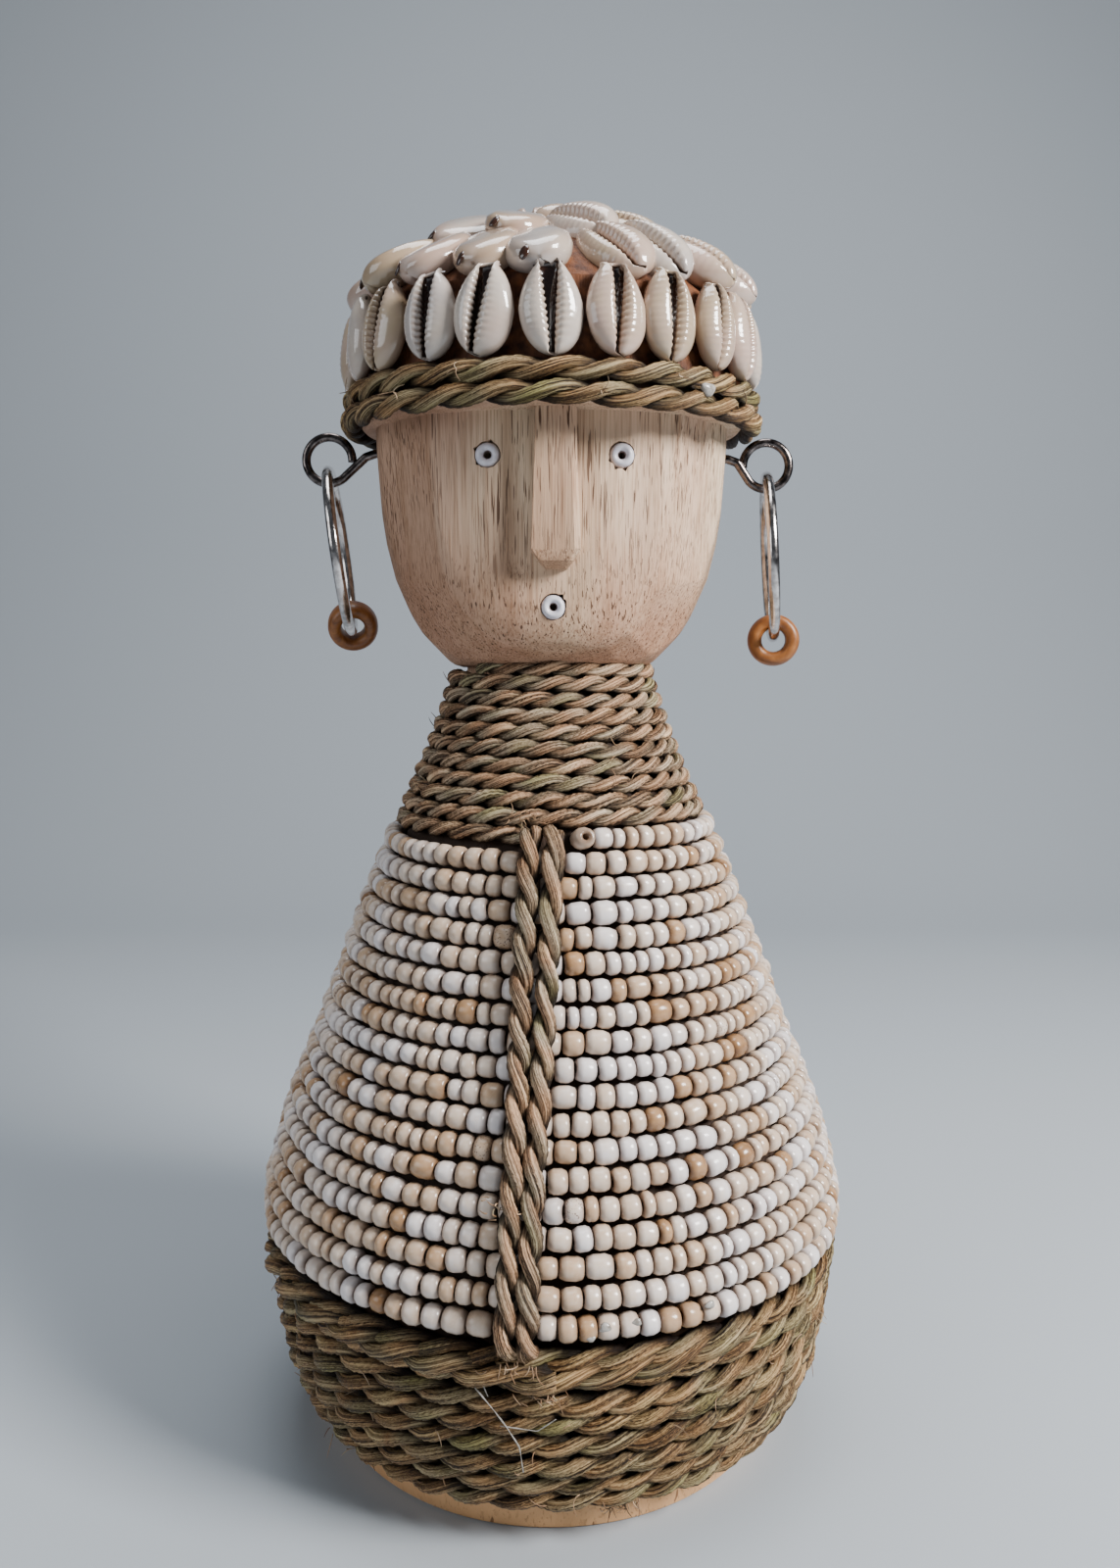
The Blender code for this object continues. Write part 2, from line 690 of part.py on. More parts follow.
def rim_cowries(hat_frame):
    """Cowries that stand side by side round the hat, on the rope."""
    middle = ROPE_BAND + COWRIE_LENGTH / 2
    for i in range(RIM_COWRIES):
        azimuth = 2 * math.pi * i / RIM_COWRIES
        radius = hat_wall_radius(middle)
        slope = math.pi / 2 - HAT_TAPER
        cowrie(f"rim_cowrie_{i + 1:02d}", hat_frame, azimuth, radius, middle, slope)


def second_ring_cowries(hat_frame):
    """Cowries that lie outwards on the edge of the dome."""
    radius = DOME_EDGE * SECOND_RING_SHARE
    height, slope = dome_point(radius)
    for i in range(SECOND_RING_COWRIES):
        azimuth = 2 * math.pi * (i + SECOND_RING_SHIFT) / SECOND_RING_COWRIES
        cowrie(f"edge_cowrie_{i + 1:02d}", hat_frame, azimuth, radius, height, slope)


def joined_cowries(name, hat_frame, places):
    """Cowries that touch, glued into one."""
    first, *others = [
        cowrie(f"{name}_{i}", hat_frame, *where) for i, where in enumerate(places)
    ]
    first.name = name
    for other in others:
        combine(first, other, "UNION")


def crown_cowries(hat_frame):
    """The inner ring, in groups that touch, and the group on top of the dome."""
    radius = DOME_EDGE * SECOND_RING_SHARE - COWRIE_LENGTH * CROWN_STEP
    height, slope = dome_point(radius)
    step = GROUP_STEP * COWRIE_WIDTH / radius
    for group in range(CROWN_GROUPS):
        places = []
        for i in range(COWRIES_IN_A_GROUP):
            azimuth = 2 * math.pi * group / CROWN_GROUPS + step * i
            places.append((azimuth, radius, height, slope, CROWN_ASKEW))
        joined_cowries(f"crown_cowries_{group + 1}", hat_frame, places)
    radius = DOME_EDGE * TOP_SHARE
    height, slope = dome_point(radius)
    places = []
    for i in range(COWRIES_IN_A_GROUP):
        azimuth = 2 * math.pi * (i + TOP_SHIFT) / COWRIES_IN_A_GROUP
        places.append((azimuth, radius, height, slope, math.pi / 2))
    joined_cowries("top_cowries", hat_frame, places)


def wooden_figure(hat_frame, eye_centres):
    """Body, head, nose and hat are one piece of wood, drilled for the face beads and earrings."""
    profile = [(0, BODY_HEIGHT)]
    profile += [tuple(corner) for corner in reversed(BODY_OUTLINE)]
    profile.append((0, 0))
    figure = turned("wooden_figure", profile, SIDES, finish=WOOD)
    combine(figure, head(), "UNION")
    combine(figure, hat(hat_frame), "UNION")
    combine(figure, nose(), "UNION")
    combine(figure, socket("left_eye_socket", LEFT_EYE_X, EYE_Z), "DIFFERENCE")
    combine(figure, socket("right_eye_socket", RIGHT_EYE_X, EYE_Z), "DIFFERENCE")
    combine(figure, socket("mouth_socket", NOSE_X, MOUTH_Z), "DIFFERENCE")
    for side, centre in eye_centres.items():
        hole = bore(f"bore_{side + 1}", side, centre[1] + EYE_LEG_ABOVE_CENTRE)
        combine(figure, hole, "DIFFERENCE")


def build():
    hat_frame = bpy.data.objects.new("hat_frame", None)
    hat_frame.location = (0, 0, HAT_BASE)
    hat_frame.rotation_euler = (HAT_LEAN, 0, 0)
    DOLL.objects.link(hat_frame)

    left, right = -1, 1
    eye_centres = {
        left: eye_ring_centre(left, LEFT_EYE_SLANT),
        right: eye_ring_centre(right, RIGHT_EYE_SLANT),
    }
    wooden_figure(hat_frame, eye_centres)
    wound_pieces()
    front_cord("front_cord_left", left)
    front_cord("front_cord_right", right)
    face_bead("eye_bead_left", LEFT_EYE_X, EYE_Z)
    face_bead("eye_bead_right", RIGHT_EYE_X, EYE_Z)
    face_bead("mouth_bead", NOSE_X, MOUTH_Z)
    hat_rope(hat_frame)
    rim_cowries(hat_frame)
    second_ring_cowries(hat_frame)
    crown_cowries(hat_frame)
    screw_eye("screw_eye_left", left, eye_centres[left])
    screw_eye("screw_eye_right", right, eye_centres[right])
    earring("left", left, eye_centres[left], LEFT_HOOP_LEAN, LEFT_HOOP_TURN, LEFT_BEAD_SLID)
    earring("right", right, eye_centres[right], RIGHT_HOOP_LEAN, RIGHT_HOOP_TURN, 0.0)


build()
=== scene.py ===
import math

import bmesh
import bpy
import numpy as np
from mathutils import Euler, Matrix, Vector


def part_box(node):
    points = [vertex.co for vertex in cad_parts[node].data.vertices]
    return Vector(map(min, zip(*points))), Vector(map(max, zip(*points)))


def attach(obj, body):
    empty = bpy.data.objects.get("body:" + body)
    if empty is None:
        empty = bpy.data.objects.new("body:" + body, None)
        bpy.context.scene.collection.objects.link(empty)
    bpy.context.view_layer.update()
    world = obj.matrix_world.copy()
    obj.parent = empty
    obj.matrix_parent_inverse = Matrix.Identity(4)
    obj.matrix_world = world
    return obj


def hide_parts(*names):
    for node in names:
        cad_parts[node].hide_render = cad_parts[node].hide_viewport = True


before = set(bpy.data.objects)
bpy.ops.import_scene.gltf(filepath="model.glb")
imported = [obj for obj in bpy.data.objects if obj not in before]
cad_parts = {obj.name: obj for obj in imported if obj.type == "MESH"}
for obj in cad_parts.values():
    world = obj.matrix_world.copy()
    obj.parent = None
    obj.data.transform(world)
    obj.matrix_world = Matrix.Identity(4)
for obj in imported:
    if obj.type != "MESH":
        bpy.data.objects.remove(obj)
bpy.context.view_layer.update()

MM = 0.001
TURN = 2 * math.pi

# The camera, as fitted to the photograph
CAMERA_AT = (0.0021, -0.2997, 0.1900)
CAMERA_PITCH = -0.098
CAMERA_LENS = 27.0

# Sizes that the frame doesn't give by itself, the same as in the part's source
GAP = 0.3 * MM
BEAD_DIAMETER = 5.3 * MM
NECK_ROPE_DIAMETER = 3.8 * MM
BASE_ROPE_DIAMETER = 4.9 * MM
HAT_ROPE_DIAMETER = 4.8 * MM
CORD_DIAMETER = 3.9 * MM
BODY_TOP = 193.0 * MM
NECK_ROPE_TO = 189.8 * MM
BEADS_FROM = 50.7 * MM
BEADS_TO = 153.2 * MM
BASE_ROPE_FROM = 8.4 * MM
BELOW_BEADS = 1.6 * MM
BEADS_START = math.radians(7.5)
NECK_ROPE_END = math.radians(-17.0)
HEAD_BOTTOM = 190.2 * MM
HEAD_SHOULDER = 225.0 * MM
HEAD_RADIUS = 43.1 * MM
FACE_DEPTH = 36.3 * MM
HAT_BASE = 247.8 * MM
HAT_RADIUS = 46.5 * MM
HAT_TAPER = math.radians(7.2)
HAT_LEAN = math.radians(2.4)
HAT_ROPE_BOTTOM = -1.1 * MM
DOME_RISE = 20.1 * MM
COWRIE_SPACE = 1.1 * MM
RIM_COWRIES = 22
EDGE_COWRIES = 18
NOSE_X = 0.6 * MM
LEFT_EYE = (-13.9 * MM, 236.9 * MM)
RIGHT_EYE = (15.8 * MM, 236.9 * MM)
MOUTH = (0.6 * MM, 203.6 * MM)


def smooth_noise(seed, count):
    """Smooth random waves of about -1 to 1: a function of a position in units of one wave."""
    rng = np.random.default_rng(seed)
    levels = rng.uniform(-1, 1, count)

    def value(at):
        at = np.asarray(at, float)
        low = np.floor(at).astype(int)
        share = at - low
        share = share * share * (3 - 2 * share)
        return levels[low % count] * (1 - share) + levels[(low + 1) % count] * share

    return value


def unit(vectors):
    return vectors / np.linalg.norm(vectors, axis=-1, keepdims=True)


# Meshes


def xyz(*parts):
    """Points from their three coordinates, each spread to the same shape."""
    return np.stack(np.broadcast_arrays(*parts), axis=-1)


def placed(points, matrix):
    matrix = np.array(matrix)
    return points @ matrix[:3, :3].T + matrix[:3, 3]


def circle(steps):
    return np.linspace(0, TURN, steps, endpoint=False)


def lengths_along(path):
    """How far along a path each of its points lies."""
    steps = np.linalg.norm(np.diff(path, axis=0), axis=1)
    return np.concatenate([[0], np.cumsum(steps)])


def along_path(path, marks, wanted):
    """Points of a path at other marks than those of its own points."""
    return xyz(*[np.interp(wanted, marks, part) for part in path.T])


def grid_faces(rows, columns, joined=False, capped=False):
    """Quads over rows of points that run round. The end rows can be joined, or capped."""
    here = np.arange(rows if joined else rows - 1)[:, None] * columns
    there = (here + columns) % (rows * columns)
    j = np.arange(columns)
    k = (j + 1) % columns
    quads = np.stack([here + j, here + k, there + k, there + j], axis=-1)
    faces = quads.reshape(-1, 4).tolist()
    if capped:
        faces.append(list(range(columns))[::-1])
        faces.append(list(range((rows - 1) * columns, rows * columns)))
    return faces


def flipped(faces):
    return [face[::-1] for face in faces]


def swept(centres, side, up, wide, high, ring):
    """An oval swept along its centres, wide and high being half its size at each of them."""
    across = (np.cos(ring) * wide)[..., None] * side[:, None, :]
    return centres[:, None, :] + across + (np.sin(ring) * high)[..., None] * up[:, None, :]


def tube(path, radius, sides=16, closed=False):
    """(points, faces) of a round wire along a path that lies in one plane or nearly."""
    if closed:
        tangent = unit(np.roll(path, -1, axis=0) - np.roll(path, 1, axis=0))
    else:
        tangent = unit(np.gradient(path, axis=0))
    count = len(path)
    normal = np.cross(path[count // 3] - path[0], path[2 * count // 3] - path[0])
    side = unit(np.cross(np.broadcast_to(unit(normal), path.shape), tangent))
    radius = np.broadcast_to(radius, count)[:, None]
    points = swept(path, side, np.cross(tangent, side), radius, radius, circle(sides))
    return points.reshape(-1, 3), grid_faces(count, sides, closed, not closed)


def oval(at, out, upward, halves, rows, columns, pole, lumps=0.0, phase=0.0):
    """(points, faces) of a flattened ball that faces out, from half its size across, up and out."""
    across = unit(np.cross(out, upward))
    up = np.cross(across, out)
    polar = np.linspace(pole, math.pi - pole, rows)[:, None]
    turn = circle(columns)
    lump = np.sin(polar) * (1 + lumps * np.sin(3 * turn + phase) * np.sin(polar) ** 2)
    shares = xyz(lump * np.cos(turn), lump * np.sin(turn), np.cos(polar)) * halves
    points = at + shares @ np.array([across, up, out])
    return points.reshape(-1, 3), flipped(grid_faces(rows, columns, capped=True))


def new_object(name, data):
    made = bpy.data.objects.new(name, data)
    bpy.context.scene.collection.objects.link(made)
    return made


def mesh_object(name, points, faces):
    data = bpy.data.meshes.new(name)
    data.from_pydata(np.asarray(points, float).reshape(-1, 3).tolist(), [], faces)
    return new_object(name, data)


def give(data, attributes):
    """Stores a number or a vector for each point, which the materials read."""
    for key, values in attributes.items():
        values = np.asarray(values, np.float32)
        kind, field = ("FLOAT_VECTOR", "vector") if values.ndim == 2 else ("FLOAT", "value")
        data.attributes.new(key, kind, "POINT").data.foreach_set(field, values.ravel())


def adopt(made, replaced):
    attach(made, "root")
    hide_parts(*replaced)


def make_piece(name, points, faces, material, replaced, attributes=()):
    """A smooth piece of the doll, riding on the root."""
    made = mesh_object(name, points, faces)
    give(made.data, dict(attributes))
    made.data.shade_smooth()
    made.data.materials.append(material)
    made.data.update()
    adopt(made, replaced)


class Heap:
    """Points, faces and attributes of many closed shells, gathered for one piece."""

    def __init__(self):
        self.points, self.faces, self.attributes, self.count = [], [], {}, 0

    def add(self, points, faces, **attributes):
        points = np.asarray(points, float).reshape(-1, 3)
        self.points.append(points)
        self.faces += [[v + self.count for v in face] for face in faces]
        for key, values in attributes.items():
            values = np.asarray(values, float)
            if values.ndim == 0:
                values = np.full(len(points), values)
            self.attributes.setdefault(key, []).append(values)
        self.count += len(points)

    def piece(self, name, material, replaced, slot):
        attributes = {key: np.concatenate(parts) for key, parts in self.attributes.items()}
        points = np.concatenate(self.points)
        make_piece(name, points, self.faces, material, replaced, attributes)


# The outline of the body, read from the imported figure's corners on the +X side


OUTLINE_STEPS = 400
SMOOTHED_OVER = 12


def read_outline():
    """(lengths along the wall, radii, heights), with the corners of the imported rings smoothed."""
    corners = set()
    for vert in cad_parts["wooden_figure"].data.vertices:
        x, y, z = vert.co
        if abs(y) < 1e-6 and x > 0.01 and z < HEAD_BOTTOM - 1 * MM:
            corners.add((round(z, 6), round(x, 6)))
    heights, radii = np.array(sorted(corners)).T
    radii = np.append(radii, radii[-1] * 0.99)
    heights = np.append(heights, BODY_TOP)
    steps = np.hypot(np.diff(heights), np.diff(radii))
    lengths = np.concatenate([[0], np.cumsum(steps)])
    fine = np.linspace(0, lengths[-1], OUTLINE_STEPS)
    weights = np.hanning(2 * SMOOTHED_OVER + 3)[1:-1]
    weights /= weights.sum()
    smoothed = []
    for values in (radii, heights):
        values = np.interp(fine, lengths, values)
        before = 2 * values[0] - values[SMOOTHED_OVER:0:-1]
        after = 2 * values[-1] - values[-2 : -SMOOTHED_OVER - 2 : -1]
        padded = np.concatenate([before, values, after])
        smoothed.append(np.convolve(padded, weights, "valid"))
    return fine, *smoothed


OUT_LENGTH, OUT_RADIUS, OUT_HEIGHT = read_outline()
OUT_NORMAL_R = np.gradient(OUT_HEIGHT)
OUT_NORMAL_Z = -np.gradient(OUT_RADIUS)


def length_at_height(height):
    return float(np.interp(height, OUT_HEIGHT, OUT_LENGTH))


BEADS_TOP = length_at_height(BEADS_TO) - BEAD_DIAMETER / 2
BEADS_BOTTOM = length_at_height(BEADS_FROM) + BEAD_DIAMETER / 2
BEAD_PITCH = BEAD_DIAMETER + GAP
BEAD_TURNS = (BEADS_TOP - BEADS_BOTTOM) / BEAD_PITCH


def on_body(length, azimuth, offset):
    """(points, outward directions) held off the body by the offset; azimuth 0 is the front."""
    length, azimuth = np.broadcast_arrays(np.asarray(length, float), np.asarray(azimuth, float))
    normal_r = np.interp(length, OUT_LENGTH, OUT_NORMAL_R)
    normal_z = np.interp(length, OUT_LENGTH, OUT_NORMAL_Z)
    size = np.hypot(normal_r, normal_z)
    normal_r, normal_z = normal_r / size, normal_z / size
    radius = np.interp(length, OUT_LENGTH, OUT_RADIUS) + normal_r * offset
    height = np.interp(length, OUT_LENGTH, OUT_HEIGHT) + normal_z * offset
    east, north = np.sin(azimuth), -np.cos(azimuth)
    outward = xyz(normal_r * east, normal_r * north, normal_z)
    return xyz(radius * east, radius * north, height), outward


# Materials


class Look:
    """A material. Each method adds a node to it and returns that node's output."""

    def __init__(self, name):
        self.material = bpy.data.materials.new(name)
        self.material.use_nodes = True
        self.tree = self.material.node_tree

    def fill(self, node, inputs):
        """Links or sets a node's inputs, by number or name."""
        for key, value in inputs.items():
            if isinstance(value, bpy.types.NodeSocket):
                self.tree.links.new(value, node.inputs[key])
            else:
                node.inputs[key].default_value = value

    def add(self, kind, inputs=(), output=0, **settings):
        made = self.tree.nodes.new("ShaderNode" + kind)
        for key, value in settings.items():
            setattr(made, key, value)
        self.fill(made, dict(inputs))
        return made.outputs[output]

    def place(self):
        return self.add("TexCoord", output="Object")

    def noise(self, vector, scale, detail, roughness=0.5):
        values = {"Vector": vector, "Scale": scale, "Detail": detail, "Roughness": roughness}
        return self.add("TexNoise", values)

    def grain(self, vector, scale, detail, roughness=0.5):
        """Noise with a scale of its own along each axis."""
        mapped = self.add("Mapping", {"Vector": vector, "Scale": scale})
        return self.noise(mapped, 1.0, detail, roughness)

    def span(self, value, low, high, to_low=0.0, to_high=1.0):
        return self.add("MapRange", {0: value, 1: low, 2: high, 3: to_low, 4: to_high})

    def maths(self, operation, first, second):
        return self.add("Math", {0: first, 1: second}, operation=operation)

    def times(self, first, second):
        return self.maths("MULTIPLY", first, second)

    def ramp(self, factor, *stops):
        """A colour ramp of (position, colour) stops."""
        made = self.tree.nodes.new("ShaderNodeValToRGB")
        self.tree.links.new(factor, made.inputs[0])
        elements = made.color_ramp.elements
        while len(elements) < len(stops):
            elements.new(0.5)
        for element, (position, colour) in zip(elements, stops):
            element.position = position
            element.color = (*colour, 1.0)
        return made.outputs[0]

    def mix(self, factor, under, over, blend="MIX"):
        """Lays the colour over what is under it, by the factor."""
        if isinstance(over, tuple):
            over = (*over, 1.0)
        values = {0: factor, 6: under, 7: over}
        return self.add("Mix", values, output=2, data_type="RGBA", blend_type=blend)

    def bump(self, height, distance, strength=1.0):
        values = {"Height": height, "Distance": distance, "Strength": strength}
        return self.add("Bump", values)

    def attribute(self, name, output="Fac"):
        return self.add("Attribute", output=output, attribute_name=name)

    def finish(self, colour, roughness, normal=None, others=()):
        """Fills the shader's own inputs and returns the material."""
        inputs = {"Base Color": colour, "Roughness": roughness, **dict(others)}
        if normal is not None:
            inputs["Normal"] = normal
        self.fill(self.tree.nodes["Principled BSDF"], inputs)
        return self.material


def wood_material():
    """Pale carved wood: upright grain, dark pores as dashes, and a warm stain on the hat."""
    look = Look("carved_wood")
    place = look.place()
    broad = look.grain(place, (38, 38, 8), 2.0)
    bands = look.grain(place, (300, 300, 7), 3.0, 0.6)
    lines = look.grain(place, (2100, 2100, 28), 3.0, 0.65)
    long_pore = look.grain(place, (2900, 2900, 95), 1.0)
    short_pore = look.grain(place, (2300, 2300, 400), 1.0)
    crowd = look.grain(place, (85, 85, 30), 1.0)
    height = look.add("SeparateXYZ", {0: place}, output=2)
    chin = look.span(height, 222 * MM, 204 * MM)
    long_pores = look.span(long_pore, 0.62, 0.66)
    long_pores = look.times(long_pores, look.span(crowd, 0.38, 0.55, 0.15, 1.0))
    long_pores = look.times(long_pores, look.maths("SUBTRACT", 1.0, chin))
    short_pores = look.times(look.span(short_pore, 0.63, 0.69), chin)
    pores = look.maths("MAXIMUM", long_pores, short_pores)
    # Painted light and shade: the wood is coloured lighter towards +X, the side the light comes
    # from, and darker towards -X
    side = look.add("SeparateXYZ", {0: place}, output=0)
    side = look.maths("ADD", look.span(side, -44 * MM, 44 * MM, -0.14, 0.16), broad)
    tone = look.ramp(
        side,
        (0.30, (0.46, 0.285, 0.195)),
        (0.47, (0.58, 0.385, 0.27)),
        (0.62, (0.67, 0.49, 0.345)),
        (0.78, (0.71, 0.58, 0.41)),
    )
    tone = look.mix(look.span(bands, 0.40, 0.70, 0.0, 0.45), tone, (0.36, 0.205, 0.115))
    tone = look.mix(look.span(lines, 0.47, 0.70, 0.0, 0.75), tone, (0.26, 0.14, 0.075))
    tone = look.mix(look.times(chin, 0.8), tone, (0.80, 0.70, 0.64), "MULTIPLY")
    tone = look.mix(look.times(pores, 0.9), tone, (0.085, 0.04, 0.022))
    # Painted shade outside the U of the face, on its left and along its bottom, and a darker nose
    # all over
    tone = look.mix(look.attribute("shade"), tone, (0.86, 0.79, 0.74), "MULTIPLY")
    foot = look.span(height, 11 * MM, 8 * MM)
    tone = look.mix(look.times(foot, 0.85), tone, (0.76, 0.43, 0.20))
    cracks = look.grain(place, (480, 480, 30), 2.0)
    cracks = look.times(look.span(cracks, 0.66, 0.69), foot)
    tone = look.mix(look.times(cracks, 0.8), tone, (0.16, 0.07, 0.03))
    stain = look.attribute("stain")
    blotch = look.noise(place, 300.0, 3.0)
    stained = look.ramp(blotch, (0.35, (0.045, 0.014, 0.006)), (0.66, (0.20, 0.070, 0.025)))
    tone = look.mix(stain, tone, stained)
    # Dirt and painted shade: the body under the beads and ropes is darkened almost to black, for
    # the gaps between them
    tone = look.mix(look.attribute("grime_and_shade"), tone, (0.035, 0.018, 0.010))
    rough = look.span(lines, 0.3, 0.8, 0.62, 0.8)
    relief = look.bump(look.maths("SUBTRACT", look.times(lines, 0.6), pores), 0.00022)
    return look.finish(tone, rough, relief, {"Specular IOR Level": 0.3})


def rope_material(name, dark, middle, light):
    """Twisted grass: fibres along each strand, some greener, some redder."""
    look = Look(name)
    lay = look.attribute("lay", "Vector")
    fine = look.grain(lay, (70, 4300, 4300), 3.0, 0.65)
    coarse = look.grain(lay, (40, 1300, 1300), 2.0, 0.5)
    patch = look.grain(lay, (55, 90, 90), 1.0)
    fibres = look.maths("ADD", look.times(fine, 0.55), look.times(coarse, 0.45))
    # The dark stop paints shade in the cracks between fibres; the light stop is paler straw, partly
    # a painted highlight
    tone = look.ramp(fibres, (0.40, dark), (0.48, middle), (0.61, light))
    # Painted shade: the strands go almost black on their sides towards the body and down into the
    # crease between them
    tone = look.mix(look.attribute("inner"), tone, (0.008, 0.004, 0.0015))
    hue = look.ramp(
        patch,
        (0.28, (0.76, 0.82, 0.56)),
        (0.42, (1.0, 0.98, 0.92)),
        (0.56, (1.08, 0.80, 0.62)),
        (0.70, (1.50, 1.38, 1.15)),
    )
    tone = look.mix(1.0, tone, hue, "MULTIPLY")
    return look.finish(tone, 0.5, look.bump(fibres, 0.0006), {"Specular IOR Level": 0.22})


def bead_material():
    """Glossy opaque beads from bluish white to brown, each with its own tone."""
    look = Look("body_beads")
    place = look.place()
    own = look.attribute("tone")
    cloud = look.noise(place, 420.0, 2.0)
    level = look.maths("ADD", own, look.span(cloud, 0.25, 0.75, -0.10, 0.10))
    tone = look.ramp(
        level,
        (0.05, (0.72, 0.67, 0.66)),
        (0.30, (0.67, 0.55, 0.45)),
        (0.52, (0.53, 0.37, 0.245)),
        (0.74, (0.40, 0.235, 0.12)),
        (1.00, (0.16, 0.075, 0.03)),
    )
    # Dirt and painted shade: each bead darkens towards its ends, where it meets the next, and in
    # its hole
    grime_and_shade = look.attribute("rim")
    tone = look.mix(look.times(grime_and_shade, 0.85), tone, (0.11, 0.050, 0.022))
    speck = look.span(look.noise(place, 2600.0, 1.0), 0.60, 0.68)
    speck = look.times(speck, look.attribute("specks"))
    tone = look.mix(speck, tone, (0.10, 0.05, 0.03))
    rough = look.span(cloud, 0.3, 0.7, 0.16, 0.30)
    return look.finish(tone, rough, look.bump(cloud, 0.0002, 0.35))


def shell_material():
    """Cowrie: glossy ivory, pinkish or greyish, brown at its slit and between its teeth. Painted
    shade: brown towards its flanks, near black inside its slit and in the bored holes.
    """
    look = Look("cowrie_shell")
    place = look.place()
    own = look.attribute("tone")
    cloud = look.noise(place, 110.0, 3.0)
    level = look.maths("ADD", look.times(own, 0.6), look.times(cloud, 0.55))
    tone = look.ramp(
        level,
        (0.18, (0.36, 0.33, 0.335)),
        (0.40, (0.53, 0.46, 0.395)),
        (0.58, (0.49, 0.36, 0.305)),
        (0.80, (0.42, 0.325, 0.22)),
    )
    # Brown between the teeth and at the slit's lips, and painted shade that browns the flanks
    grooves = look.times(look.attribute("groove"), 0.75)
    tone = look.mix(grooves, tone, (0.30, 0.17, 0.09))
    # Painted shade: near black inside the slit and on the balls that stand for bored holes
    tone = look.mix(look.attribute("depth"), tone, (0.035, 0.014, 0.008))
    rough = look.span(cloud, 0.3, 0.7, 0.10, 0.24)
    relief = look.bump(look.noise(place, 700.0, 2.0), 0.0001, 0.25)
    return look.finish(tone, rough, relief, {"Coat Weight": 0.7, "Coat Roughness": 0.04})


def metal_material(name, dark, light, rough):
    """Metal with lighter, duller patches."""
    look = Look(name)
    wear = look.noise(look.place(), 520.0, 3.0, 0.6)
    tone = look.ramp(wear, (0.35, dark), (0.62, light))
    rough = look.span(wear, 0.3, 0.7, rough, rough + 0.14)
    return look.finish(tone, rough, look.bump(wear, 0.0001, 0.2), {"Metallic": 1.0})


def face_bead_material():
    """Glossy bluish white, with painted shade round the hole."""
    look = Look("face_bead")
    cloud = look.noise(look.place(), 600.0, 2.0)
    tone = look.ramp(cloud, (0.3, (0.56, 0.54, 0.60)), (0.7, (0.72, 0.70, 0.74)))
    # Painted shade on the hole's inner wall
    tone = look.mix(look.attribute("rim"), tone, (0.22, 0.16, 0.14))
    return look.finish(tone, look.span(cloud, 0.3, 0.7, 0.18, 0.3))


def glue_material():
    """Dried glue, greyish white and glossy."""
    look = Look("dried_glue")
    cloud = look.noise(look.place(), 900.0, 2.0)
    tone = look.ramp(cloud, (0.3, (0.20, 0.18, 0.155)), (0.7, (0.44, 0.42, 0.39)))
    return look.finish(tone, look.span(cloud, 0.3, 0.7, 0.12, 0.3))


def earring_bead_material():
    """Wood stained orange brown, with a fine grain."""
    look = Look("stained_bead")
    grain = look.grain(look.place(), (300, 1400, 300), 3.0)
    tone = look.ramp(grain, (0.3, (0.13, 0.038, 0.008)), (0.68, (0.33, 0.125, 0.03)))
    rough = look.span(grain, 0.3, 0.7, 0.32, 0.5)
    return look.finish(tone, rough, look.bump(grain, 0.0001, 0.4))


WOOD = wood_material()
# Dark, middle and light tone of each rope's fibres: the dark one is painted shade between fibres,
# the light one paler straw with painted highlight
PALE_GRASS = ((0.018, 0.010, 0.005), (0.185, 0.130, 0.083), (0.62, 0.51, 0.385))
DARK_GRASS = ((0.010, 0.005, 0.002), (0.118, 0.080, 0.038), (0.46, 0.375, 0.225))
ROPE = rope_material("seagrass_rope", *PALE_GRASS)
DARK_ROPE = rope_material("dark_rope", *DARK_GRASS)
BEADS = bead_material()
SHELL = shell_material()
DARK_METAL = metal_material("dark_nickel", (0.055, 0.045, 0.042), (0.21, 0.18, 0.17), 0.16)
BRIGHT_METAL = metal_material("bright_nickel", (0.40, 0.36, 0.34), (0.72, 0.68, 0.66), 0.10)
WHITE_BEAD = face_bead_material()
GLUE = glue_material()
EARRING_WOOD = earring_bead_material()


# Wooden figure


def rounded(share, roundness):
    return (1 - np.minimum(share, 1.0) ** roundness) ** (1 / roundness)


TURNED_STEPS = 128
PLAN_ROUNDNESS = 2.3
CHIN_ROUNDNESS = 5.0
HEAD_LEVELS = np.array([0, 0.012, 0.04, 0.127, 0.245, 0.375, 0.523, 0.67, 0.847, 1.0])
HEAD_WIDTHS = np.array([0.51, 0.564, 0.62, 0.731, 0.828, 0.898, 0.947, 0.976, 0.995, 1.0])
HEAD_CENTRE = np.array([0, 0, 222 * MM])
U_MIDDLE = 1.5 * MM
U_HALF_WIDTH = 28.0 * MM
U_STRAIGHT_TO = 233.0 * MM
U_BOTTOM = 194.0 * MM
U_ROUNDNESS = 2.5


def head_surface(turn, height):
    """A point of the rounded head before it is cut: turn 0 is the front, running towards +X."""
    down = np.maximum(0.0, (HEAD_SHOULDER - height) / (HEAD_SHOULDER - HEAD_BOTTOM))
    level = (height - HEAD_BOTTOM) / (HAT_BASE - HEAD_BOTTOM)
    side = HEAD_RADIUS * np.interp(level, HEAD_LEVELS, HEAD_WIDTHS)
    front = FACE_DEPTH * rounded(down, CHIN_ROUNDNESS)
    across, deep = np.sin(turn), -np.cos(turn)
    x = side * np.sign(across) * np.abs(across) ** (2 / PLAN_ROUNDNESS)
    depth = np.where(deep > 0, side, front)
    y = depth * np.sign(deep) * np.abs(deep) ** (2 / PLAN_ROUNDNESS)
    return xyz(x, y, height)


